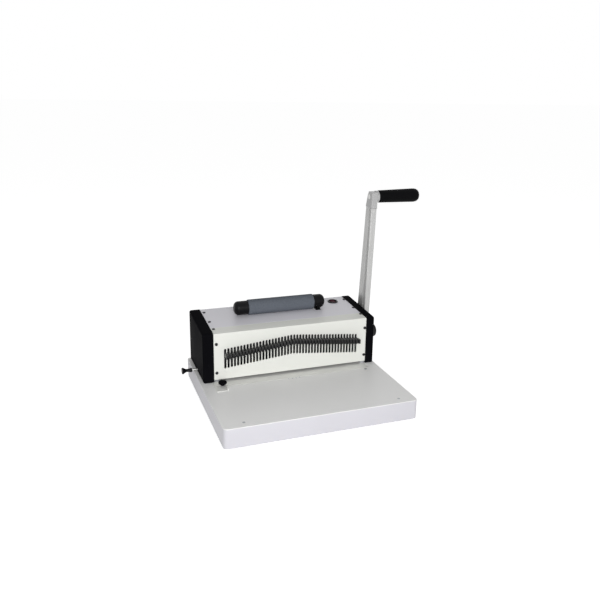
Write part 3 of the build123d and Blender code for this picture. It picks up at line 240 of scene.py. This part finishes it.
recipes = {
    "panelPaint": (paintWork, paint, {}),
    # the panel's white paint tinted lilac: painted bluish light from above on the top and rear covers
    "coverPaint": (paintWork, paint, {"colour": linear(224, 223, 229), "edgeColour": linear(232, 232, 236)}),
    "trayPaint": (paintWork, paint, {"colour": linear(234, 234, 233), "flake": 0.25}),
    "panPaint": (paintWork, paint, {"colour": linear(204, 203, 209), "peel": 0.25, "peelScale": 900.0}),
    "housingPlastic": (mouldWork, mould, {}),
    "blockPlastic": (mouldWork, mould, {"colour": linear(14, 14, 16), "rough": 0.34, "specular": 0.1}),
    "capPlastic": (mouldWork, mould, {"colour": linear(12, 12, 14), "rough": 0.3, "specular": 0.35}),
    "glossPlastic": (mouldWork, mould, {
        "colour": linear(10, 10, 12), "rough": 0.24, "grain": 0.1, "specular": 0.15}),
    "gripRubber": (mouldWork, mould, {
        "colour": linear(9, 9, 10), "rough": 0.5, "grainScale": 2400.0, "specular": 0.03}),
    "footRubber": (mouldWork, mould, {"colour": linear(20, 20, 21), "rough": 0.7}),
    "sleeveRubber": (mouldWork, mould, {
        "colour": linear(90, 95, 103), "drift": 0.14, "driftScale": 320.0,
        "grainScale": 620.0, "grain": 0.6, "grainDepth": 0.0004,
        "speckle": 0.5, "speckleColour": linear(108, 113, 121), "rough": 0.8, "specular": 0.04,
        "edge": 0.15, "edgeColour": linear(118, 122, 128)}),
    "rockerPlastic": (mouldWork, mould, {
        "colour": linear(50, 8, 22), "drift": 0.1, "rough": 0.3, "grain": 0.06, "specular": 0.03,
        "speckle": 0.1, "speckleColour": linear(70, 16, 32), "edgeColour": linear(104, 36, 54)}),
    "barMetal": (metalWork, metal, {
        "colour": linear(187, 187, 186), "metallic": 0.55, "rough": 0.4,
        "turn": (-lean, 0, 0), "stretch": (1100, 1100, 9)}),
    "headMetal": (metalWork, metal, {
        "colour": linear(173, 173, 173), "metallic": 0.55, "rough": 0.42,
        "stretch": (500, 500, 500), "line": 0.03}),
    "turnedMetal": (metalWork, metal, {"stretch": (1500, 20, 20), "rough": 0.28}),
    "groundSteel": (metalWork, metal, {"colour": linear(190, 190, 190), "stretch": (12, 1300, 1300)}),
    # steel set much lighter and less metallic: painted light in the shaded throat under the panel
    "dieSteel": (metalWork, metal, {
        "colour": linear(228, 228, 225), "stretch": (12, 1300, 1300), "line": 0.03,
        "metallic": 0.3, "rough": 0.45}),
    "zincSteel": (metalWork, metal, {
        "colour": linear(182, 184, 188), "stretch": (60, 60, 60), "line": 0.08, "rough": 0.42}),
    "darkSteel": (metalWork, metal, {
        "colour": linear(42, 42, 44), "stretch": (20, 900, 900), "rough": 0.5, "metallic": 0.8}),
    # steel painted dark: painted shade on the pins and stems deep in the slots
    "pinSteel": (metalWork, metal, {"colour": linear(70, 70, 72), "stretch": (900, 900, 30)}),
    "blackSteel": (metalWork, metal, {
        "colour": linear(20, 20, 22), "stretch": (1200, 20, 20), "rough": 0.45,
        "metallic": 0.4, "edge": 0.2}),
    "markPaint": (paintWork, paint, {"colour": linear(150, 152, 168), "edge": 0.0}),
    "screwSteel": (metalWork, metal, {
        "colour": linear(40, 40, 42), "stretch": (700, 700, 700), "rough": 0.35, "metallic": 0.7}),
    "brassMetal": (metalWork, metal, {"colour": linear(196, 164, 96), "stretch": (1500, 20, 20)}),
}
for name, (build, common, own) in recipes.items():
    finish(name, build, {**common, **own})
print("finishes:", len(finishes))


# meshes, with their lengths in mm and angles in degrees
weld = {"distance": 0.003, "flat": 0.6}
ease = {"segments": 2, "angle": 42}
sharp = {"turned": 35, "box": 50, "head": 30, "wire": 50}
tiny = 1e-6


def heldIn(name, data):  # an object in the scene that holds a mesh, a lamp or a camera
    holder = bpy.data.objects.new(name, data)
    scene.collection.objects.link(holder)
    return holder


def newPiece(name, mesh, body, material, replaced=()):
    piece = heldIn(name, mesh)
    if material:
        mesh.materials.clear()
        mesh.materials.append(finishes[material])
    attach(piece, body)
    if replaced:
        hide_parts(*replaced)
    return piece


def smoothMesh(mesh, degrees=sharp["turned"]):  # smooth, but for edges sharper than this
    for polygon in mesh.polygons:
        polygon.use_smooth = True
    mesh.set_sharp_from_angle(angle=math.radians(degrees))
    return mesh


def applied(holder):  # what the modifiers make, as a plain mesh; the holder goes
    graph = bpy.context.evaluated_depsgraph_get()
    mesh = bpy.data.meshes.new_from_object(holder.evaluated_get(graph))
    bpy.data.objects.remove(holder)
    return mesh


def weldedCopy(name, flat=weld["flat"]):  # a CAD node's loose triangles, merged and with flat faces joined
    work = bmesh.new()
    work.from_mesh(nodes[name].data)
    bmesh.ops.remove_doubles(work, verts=work.verts, dist=weld["distance"] * mm)
    bmesh.ops.dissolve_limit(work, angle_limit=math.radians(flat), verts=work.verts, edges=work.edges)
    mesh = bpy.data.meshes.new(name + "Mesh")
    work.to_mesh(mesh)
    work.free()
    return mesh


def softCopy(name, width):  # the node again, with its sharp edges eased
    holder = heldIn("holder", weldedCopy(name))
    bevel = holder.modifiers.new("ease", "BEVEL")
    bevel.width = width * mm
    bevel.segments = ease["segments"]
    bevel.limit_method = "ANGLE"
    bevel.angle_limit = math.radians(ease["angle"])
    bevel.use_clamp_overlap = False
    bevel.miter_outer = "MITER_ARC"
    holder = heldIn("holder", smoothMesh(applied(holder)))
    level = holder.modifiers.new("level", "WEIGHTED_NORMAL")  # flat faces shade flat, their edges blend
    level.keep_sharp = True
    return applied(holder)


def lathe(profile, place, axis, steps):  # spins (along, radius) pairs, in mm, about an axis
    along = Vector(axis).normalized()
    across = along.orthogonal().normalized()
    other = along.cross(across)
    work = bmesh.new()
    rings = []
    for distance, radius in profile:
        centre = place + along * distance * mm
        if radius < tiny:
            rings.append([work.verts.new(centre)])
            continue
        rings.append([work.verts.new(centre + (across * math.cos(a) + other * math.sin(a)) * radius * mm)
                      for a in (2 * math.pi * i / steps for i in range(steps))])
    for low, high in zip(rings, rings[1:]):
        for i in range(steps):
            j = (i + 1) % steps
            corners = [low[i % len(low)], low[j % len(low)], high[j % len(high)], high[i % len(high)]]
            unique = list(dict.fromkeys(corners))
            if len(unique) > 2:
                work.faces.new(unique)
    bmesh.ops.remove_doubles(work, verts=work.verts, dist=weld["distance"] * mm)  # joins a profile's two ends
    bmesh.ops.recalc_face_normals(work, faces=work.faces)
    mesh = bpy.data.meshes.new("lathed")
    work.to_mesh(mesh)
    work.free()
    return smoothMesh(mesh)


def roundedBox(size, radius, segments=3):  # centred, in mm
    work = bmesh.new()
    bmesh.ops.create_cube(work, size=1.0)
    bmesh.ops.scale(work, vec=Vector(size) * mm, verts=work.verts)
    bmesh.ops.bevel(work, geom=list(work.edges), offset=radius * mm, segments=segments, profile=0.5,
                    affect="EDGES")
    mesh = bpy.data.meshes.new("roundedBox")
    work.to_mesh(mesh)
    work.free()
    return smoothMesh(mesh, sharp["box"])


# geometry node trees for what repeats
def groupTree(name, inputs):
    tree = bpy.data.node_groups.new(name, "GeometryNodeTree")
    sockets = {}
    for title, kind in inputs:
        made = tree.interface.new_socket(title, in_out="INPUT", socket_type="NodeSocket" + kind)
        sockets[title] = made.identifier
    tree.interface.new_socket("Geometry", in_out="OUTPUT", socket_type="NodeSocketGeometry")
    sheet = Sheet(tree)
    given = tree.nodes.new("NodeGroupInput")
    return tree, sockets, sheet, {s.name: Wire(sheet, s) for s in given.outputs}


def copiesOf(sheet, wires, points, turns=None):  # a part on each point, made real and given its finish
    part = sheet.add("GeometryNodeObjectInfo", {}, {"Object": wires["Part"]}, "Geometry")
    spots = {"Points": points, "Instance": part, **({"Rotation": turns} if turns else {})}
    copies = sheet.add("GeometryNodeInstanceOnPoints", {}, spots)
    plain = sheet.add("GeometryNodeRealizeInstances", {}, {"Geometry": copies})
    done = sheet.add("GeometryNodeSetMaterial", {}, {"Geometry": plain, "Material": wires["Finish"]})
    sheet.add("NodeGroupOutput", {}, {0: done})


def grown(name, tree, sockets, values, mesh=None):  # runs a tree and returns the plain mesh it makes
    holder = heldIn(name + "Holder", mesh or bpy.data.meshes.new(name))
    modifier = holder.modifiers.new("grow", "NODES")
    modifier.node_group = tree
    for title, value in values.items():
        modifier[sockets[title]] = value
    return applied(holder)


def rowTree():  # copies a part along X, each dropped by the stagger with its distance from the middle
    tree, sockets, sheet, wires = groupTree("rowOfParts", [
        ("Part", "Object"), ("Count", "Int"), ("First", "Vector"), ("Pitch", "Float"),
        ("Middle", "Float"), ("Drop", "Float"), ("Finish", "Material")])
    step = sheet.add("ShaderNodeCombineXYZ", {}, {"X": wires["Pitch"]})
    line = sheet.add("GeometryNodeMeshLine", {"mode": "OFFSET"},
                     {"Count": wires["Count"], "Start Location": wires["First"], "Offset": step})
    x = sheet.add("ShaderNodeSeparateXYZ", {}, {0: sheet.add("GeometryNodeInputPosition")}, "X")
    away = sheet.add("ShaderNodeMath", {"operation": "ABSOLUTE"}, {0: x - wires["Middle"]})
    fall = sheet.add("ShaderNodeCombineXYZ", {}, {"Z": 0 - away * wires["Drop"]})
    copiesOf(sheet, wires, sheet.add("GeometryNodeSetPosition", {}, {"Geometry": line, "Offset": fall}))
    return tree, sockets


def placedTree():  # copies a part to each point, its Z along the point's facing, each spun a step further
    tree, sockets, sheet, wires = groupTree("partsOnPlaces", [
        ("Places", "Geometry"), ("Part", "Object"), ("Spin", "Float"), ("Finish", "Material")])
    facing = sheet.add("GeometryNodeInputNamedAttribute", {"data_type": "FLOAT_VECTOR"}, {"Name": "facing"})
    turned = sheet.add("FunctionNodeAlignRotationToVector", {"axis": "Z"}, {"Vector": facing})
    index = sheet.add("GeometryNodeInputIndex")
    spin = sheet.add("ShaderNodeCombineXYZ", {}, {"Z": index * wires["Spin"]})
    own = sheet.add("FunctionNodeRotateRotation", {"rotation_space": "LOCAL"}, {0: turned, 1: spin})
    copiesOf(sheet, wires, wires["Places"], own)
    return tree, sockets


def templateOf(name, mesh):  # a part to copy, which isn't shown itself
    part = heldIn(name, mesh)
    part.hide_render = True
    return part


def placesMesh(places):  # one vertex for each (point, facing)
    mesh = bpy.data.meshes.new("places")
    mesh.from_pydata([p for p, _ in places], [], [])
    facing = mesh.attributes.new("facing", "FLOAT_VECTOR", "POINT")
    for i, (_, direction) in enumerate(places):
        facing.data[i].vector = direction
    return mesh


rowNodes, rowSockets = rowTree()
placeNodes, placeSockets = placedTree()

# casings: the CAD forms with eased edges
casings = {
    "base_pan": ("panPaint", 0.7), "paper_tray": ("trayPaint", 0.35), "die_plate": ("dieSteel", 0.25),
    "front_panel": ("panelPaint", 0.25), "top_cover": ("coverPaint", 0.3), "rear_cover": ("coverPaint", 0.2),
    "left_side_housing": ("housingPlastic", 0.3), "right_side_housing": ("housingPlastic", 0.3),
    "left_bearing_block": ("blockPlastic", 0.4), "right_drive_block": ("blockPlastic", 0.4),
    "chip_drawer": ("blockPlastic", 0.3), "power_inlet": ("glossPlastic", 0.2),
    "side_guide": ("dieSteel", 0.2), "switch_bezel": ("glossPlastic", 0.2),
    "switch_rocker": ("rockerPlastic", 0.35), "lever_bar": ("barMetal", 0.3),
    "lever_head": ("headMetal", 0.4), "grip_collar": ("headMetal", 0.3),
    "lever_washer": ("blackSteel", 0.3), "lever_hub": ("blackSteel", 0.3), "rubber_feet": ("footRubber", 0.6),
}
bodyOf = {n: body for body, names in frame["record"]["behaviour"]["bodies"].items() for n in names}
for node, (material, width) in casings.items():
    newPiece(node + "Form", softCopy(node, width), bodyOf[node], material, [node])
print("casings:", len(casings))

# pin pullers: a moulded cap on a steel stem for each pin
pullers = {"count": 44, "pitch": 6.35, "level": 70.0, "stagger": 14.0,
           "cap": (4.6, 10.0, 9.0), "capRound": 0.9, "capY": -15.0,
           "stem": (2.9, 27.0, 6.0), "stemRound": 0.25, "stemY": 6.5}
rowWidth = (pullers["count"] - 1) * pullers["pitch"]
capPart = templateOf("capPart", roundedBox(pullers["cap"], pullers["capRound"]))
stemPart = templateOf("stemPart", roundedBox(pullers["stem"], pullers["stemRound"], 1))
groups = [("left_outer", 0, 1), ("left_second", 1, 1), ("inner", 2, 40), ("right_second", 42, 1),
          ("right_outer", 43, 1)]
for name, first, count in groups:
    node = name + ("_pullers" if count > 1 else "_puller")
    body = name + ("_keys" if count > 1 else "_key")
    # the stems take the steel painted dark as painted shade
    for title, part, y, material in (("Caps", capPart, pullers["capY"], "capPlastic"),
                                     ("Stems", stemPart, pullers["stemY"], "pinSteel")):
        made = grown(name + title, rowNodes, rowSockets, {
            "Part": part, "Count": count, "Pitch": pullers["pitch"] * mm, "Middle": at(0, 0, 0).x,
            "Drop": pullers["stagger"] / (rowWidth / 2), "Finish": finishes[material],
            "First": at(-rowWidth / 2 + first * pullers["pitch"], y, pullers["level"])})
        newPiece(name + title, made, body, None, [node] if title == "Caps" else [])
print("pullers:", pullers["count"])

# cover screws: crossed pan heads
screws = {"radius": 3.0, "height": 1.8, "sink": 0.05, "slot": 0.8, "slotLength": 3.4, "slotDepth": 1.1,
          "slotRound": 0.1, "steps": 28, "spin": 0.7,
          "dome": [(0.35, 1), (0.7, 0.93), (0.92, 0.72), (1, 0.45)],  # shares of the height and the radius
          "xs": (-153.5, 155.95), "top": (23.0, 60.0, 110.6), "front": (18.5, 77.0), "rear": (20.0, 70.0)}


def panHead(s):
    dome = [(s["height"] * up, s["radius"] * out) for up, out in s["dome"]]
    profile = [(-s["sink"], 0), (-s["sink"], s["radius"])] + dome + [(s["height"], 0)]
    head = heldIn("head", lathe(profile, Vector(), (0, 0, 1), s["steps"]))
    cutters = []
    for turn in (0, math.pi / 2):
        blade = roundedBox((s["slotLength"], s["slot"], s["slotDepth"] * 2), s["slotRound"], 1)
        blade.transform(Matrix.Translation((0, 0, s["height"] * mm)) @ Matrix.Rotation(turn, 4, "Z"))
        cutter = heldIn("cutter", blade)
        cut = head.modifiers.new("cut", "BOOLEAN")
        cut.object = cutter
        cut.solver = "EXACT"
        cutters.append(cutter)
    mesh = applied(head)
    for cutter in cutters:
        bpy.data.objects.remove(cutter)
    return smoothMesh(mesh, sharp["head"])


upSlope = Vector((0, -math.sin(slope), math.cos(slope)))
places = []
for x in screws["xs"]:
    places += [(onTop(x, s), upSlope) for s in screws["top"]]
    places += [(at(x, 0, z), Vector((0, -1, 0))) for z in screws["front"]]
    places += [(at(x, machine["bodyDepth"], z), Vector((0, 1, 0))) for z in screws["rear"]]
headPart = templateOf("headPart", panHead(screws))
heads = grown("coverScrewHeads", placeNodes, placeSockets,
              {"Part": headPart, "Spin": screws["spin"], "Finish": finishes["screwSteel"]},
              placesMesh(places))
newPiece("coverScrewHeads", heads, "machine", None, ["cover_screws"])
print("screws:", len(places))

# coil roller: a grained rubber sleeve with turned-in ends
roller = {"from": -70.4, "to": 69.5, "s": 80.0, "radius": 15.5, "bore": 4.0, "gap": 0.3, "edge": 1.2,
          "edgeShare": 0.3, "rings": 12, "steps": 96}
centre = onTop(roller["from"], roller["s"], roller["radius"] + roller["gap"])
length = roller["to"] - roller["from"]
edge = roller["edge"]
nick = edge * roller["edgeShare"]
outer = roller["radius"]
ends = [(0, roller["bore"]), (0, outer - edge), (nick, outer - nick), (edge, outer)]
middle = [(length * i / roller["rings"], outer) for i in range(1, roller["rings"])]
profile = ends + middle + [(length - d, r) for d, r in reversed(ends)] + [(0, roller["bore"])]
newPiece("rollerSleeve", lathe(profile, centre, (1, 0, 0), roller["steps"]), "roller", "sleeveRubber",
         ["coil_roller"])

# lever grip, hub cap and margin knob: turned forms
grip = {"x": 199.0, "up": 298.1, "steps": 72,
        "profile": [(0, 0), (0, 11.2), (0.8, 12.1), (2.2, 12.5), (20, 12.85), (45, 13.3), (68, 13.7),
                    (79, 13.9), (83.5, 13.7), (87.5, 12.7), (90.4, 10.6), (92.2, 7.6), (92.9, 4.0), (93, 0)]}
hubCap = {"x": 210.0, "steps": 64,
          "profile": [(0, 0), (0, 13.8), (2.0, 13.8), (4.0, 12.9), (5.3, 10.9), (6, 7.9), (6, 0)]}
marginKnob = {"place": (-191.0, 57.0, 6.5), "steps": 56,
              "profile": [(0, 0), (0, 3.8), (0.5, 4.2), (2.5, 4.2), (4.0, 4.0), (6.5, 3.4), (10, 3.0),
                          (12.5, 3.5), (15.0, 4.8), (17.3, 6.5), (19.3, 6.6), (20, 6.1), (20, 0)]}
newPiece("gripForm", lathe(grip["profile"], onLever(grip["x"], 0, grip["up"]), (1, 0, 0), grip["steps"]),
         "lever", "gripRubber", ["lever_grip"])
newPiece("hubCapForm",
         lathe(hubCap["profile"], at(hubCap["x"], *machine["pivot"]), (1, 0, 0), hubCap["steps"]),
         "lever", "glossPlastic", ["hub_cap"])
newPiece("marginKnobForm",
         lathe(marginKnob["profile"], at(*marginKnob["place"]), (-1, 0, 0), marginKnob["steps"]),
         "margin", "blockPlastic", ["margin_knob"])
print("turned forms done")

# thumb knob with a ribbed rim
thumb = {"place": (-147.2, -20.0), "steps": 64,
         "profile": [(1.35, 0), (1.35, 3.8), (4.8, 3.8), (4.8, 7.2), (5.4, 7.8), (8.0, 7.8), (8.7, 7.3),
                     (9.0, 6.4), (9.0, 5.2), (8.5, 4.7), (8.5, 0)],
         "ribs": 26, "rib": (1.0, 1.0, 2.8), "ribRound": 0.3, "ribOut": 7.65, "ribUp": 6.7}
newPiece("thumbKnobForm", lathe(thumb["profile"], at(*thumb["place"], 0), (0, 0, 1), thumb["steps"]),
         "thumb_knob", "housingPlastic", ["guide_knob"])
ribTurn = 2 * math.pi / thumb["ribs"]
ribPart = templateOf("ribPart", roundedBox(thumb["rib"], thumb["ribRound"], 2))
ribMiddle = at(*thumb["place"], thumb["ribUp"])
ribPlaces = []
for i in range(thumb["ribs"]):
    out = Vector((math.cos(ribTurn * i), math.sin(ribTurn * i), 0))
    ribPlaces.append((ribMiddle + out * thumb["ribOut"] * mm, Vector((0, 0, 1))))
ribs = grown("thumbRibs", placeNodes, placeSockets,
             {"Part": ribPart, "Spin": ribTurn, "Finish": finishes["housingPlastic"]}, placesMesh(ribPlaces))
newPiece("thumbRibs", ribs, "thumb_knob", None, [])
print("thumb knob ribs:", thumb["ribs"])

# short marks on the tray
marks = {"count": 4, "pitch": 7.5, "first": (-17.2, -28.3), "size": (0.9, 5.0, 0.3), "round": 0.01,
         "proud": 0.02}
markPart = templateOf("markPart", roundedBox(marks["size"], marks["round"], 1))
made = grown("trayMarks", rowNodes, rowSockets, {
    "Part": markPart, "Count": marks["count"], "Pitch": marks["pitch"] * mm, "Middle": 0.0, "Drop": 0.0,
    "Finish": finishes["markPaint"], "First": at(*marks["first"], marks["proud"] - marks["size"][2] / 2)})
newPiece("trayMarks", made, "machine", None, [])
print("tray marks:", marks["count"])

# return springs: the CAD springs, welded into one form and shaded smooth
springs = {"seat": 6.0, "length": 55.97, "stroke": 21.2, "flat": 0.1}
springForm = newPiece("returnSpringsForm",
                      smoothMesh(weldedCopy("return_springs", springs["flat"]), sharp["wire"]),
                      "machine", "turnedMetal", ["return_springs"])
tuple(at(0, 0, springs["seat"]))
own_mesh(springForm)

# everything else keeps its CAD form and gets a finish
inner = {
    "tray_brackets": "zincSteel", "tray_screws": "zincSteel", "foot_screws": "zincSteel",
    "pin_guide": "groundSteel", "left_frame_plate": "zincSteel", "right_frame_plate": "zincSteel",
    "tie_rod": "turnedMetal", "shaft_bushes": "brassMetal", "drawer_runners": "zincSteel",
    "guide_stud": "turnedMetal", "gear_motor": "zincSteel",
    "motor_bracket": "zincSteel", "drive_belt": "footRubber", "lever_shaft": "turnedMetal",
    "drive_pinions": "darkSteel", "shaft_rings": "darkSteel", "grip_axle": "turnedMetal",
    # the pins take the steel painted dark as painted shade
    "press_bar": "darkSteel", "punch_pins": "pinSteel", "press_racks": "darkSteel",
    "margin_rod": "turnedMetal", "margin_pinions": "brassMetal", "backstop_plate": "zincSteel",
    "roller_axle": "turnedMetal", "roller_pulley": "blockPlastic", "motor_pulley": "blockPlastic",
    "motor_shaft": "turnedMetal",
}
for node, material in inner.items():
    nodes[node].data.materials.clear()
    nodes[node].data.materials.append(finishes[material])
print("inner pieces:", len(inner))

# floor, light and camera
stage = {"floor": 80.0, "floorColour": 0.8, "lift": 0.75, "sky": 0.3, "aim": (0, 0, 0.1)}
lamps = {"key": {"power": 15.5, "place": (-0.37, -1.28, 0.6), "size": 1.0},
         "fill": {"power": 1.5, "place": (1.6, -1.4, 0.7), "size": 1.2},
         "above": {"power": 0.8, "place": (0.1, 0.3, 2.4), "size": 1.6}}
floorMesh = bpy.data.meshes.new("floor")
half = stage["floor"] / 2
floorMesh.from_pydata([(-half, -half, 0), (half, -half, 0), (half, half, 0), (-half, half, 0)], [],
                      [(0, 1, 2, 3)])
floor = heldIn("floor", floorMesh)


def looking(sheet):  # 1 for a ray that sees the surroundings rather than lights the object
    camera, glossy, through = [sheet.add("ShaderNodeLightPath", out=f"Is {kind} Ray")
                               for kind in ("Camera", "Glossy", "Transmission")]
    return (camera + glossy + through).clamped()


def floorWork(sheet, grey):
    plain = sheet.add("ShaderNodeBsdfDiffuse", {}, {"Color": (grey, grey, grey, 1)})
    glow = sheet.add("ShaderNodeEmission", {}, {"Color": (1, 1, 1, 1), "Strength": stage["lift"]})
    both = sheet.add("ShaderNodeAddShader", {}, {0: plain, 1: glow})
    return sheet.add("ShaderNodeMixShader", {}, {0: looking(sheet), 1: plain, 2: both})


floorMesh.materials.append(finish("floorPaper", floorWork, stage["floorColour"]))
world = bpy.data.worlds.new("studio")
scene.world = world
world.use_nodes = True
world.node_tree.nodes.clear()
air = Sheet(world.node_tree)
sky = air.add("ShaderNodeBackground", {}, {"Color": (1, 1, 1, 1), "Strength": stage["sky"]})
white = air.add("ShaderNodeBackground", {}, {"Color": (1, 1, 1, 1), "Strength": 1.0})
seen = air.add("ShaderNodeMixShader", {}, {0: looking(air), 1: sky, 2: white})
air.add("ShaderNodeOutputWorld", {}, {"Surface": seen})

for name, lamp in lamps.items():
    data = bpy.data.lights.new(name, "AREA")
    data.energy = lamp["power"]
    data.shape = "DISK"
    data.size = lamp["size"]
    holder = heldIn(name, data)
    holder.location = lamp["place"]
    holder.rotation_euler = (Vector(stage["aim"]) - Vector(lamp["place"])).to_track_quat("-Z", "Y").to_euler()

view = {"place": (-0.45006, -1.14299, 0.58443), "yaw": 0.351313, "pitch": 0.265888, "roll": 0.0160443,
        "lens": 40.065, "sensor": 36, "shift": (-0.00485, -0.04264)}
level = math.cos(view["pitch"])
ahead = Vector((math.sin(view["yaw"]) * level, math.cos(view["yaw"]) * level, -math.sin(view["pitch"])))
right = Vector((math.cos(view["yaw"]), -math.sin(view["yaw"]), 0))
up = right.cross(ahead)
rollCos, rollSin = math.cos(view["roll"]), math.sin(view["roll"])
right, up = right * rollCos + up * rollSin, up * rollCos - right * rollSin
cameraData = bpy.data.cameras.new("camera")
cameraData.sensor_width = view["sensor"]
cameraData.lens = view["lens"]
cameraData.shift_x, cameraData.shift_y = view["shift"]
camera = heldIn("camera", cameraData)
camera.matrix_world = Matrix.Translation(view["place"]) @ Matrix((right, up, -ahead)).transposed().to_4x4()
scene.camera = camera
scene.view_settings.view_transform = "Standard"
print("stage done")

for part in (capPart, stemPart, headPart, ribPart, markPart):  # the templates have served
    bpy.data.objects.remove(part)
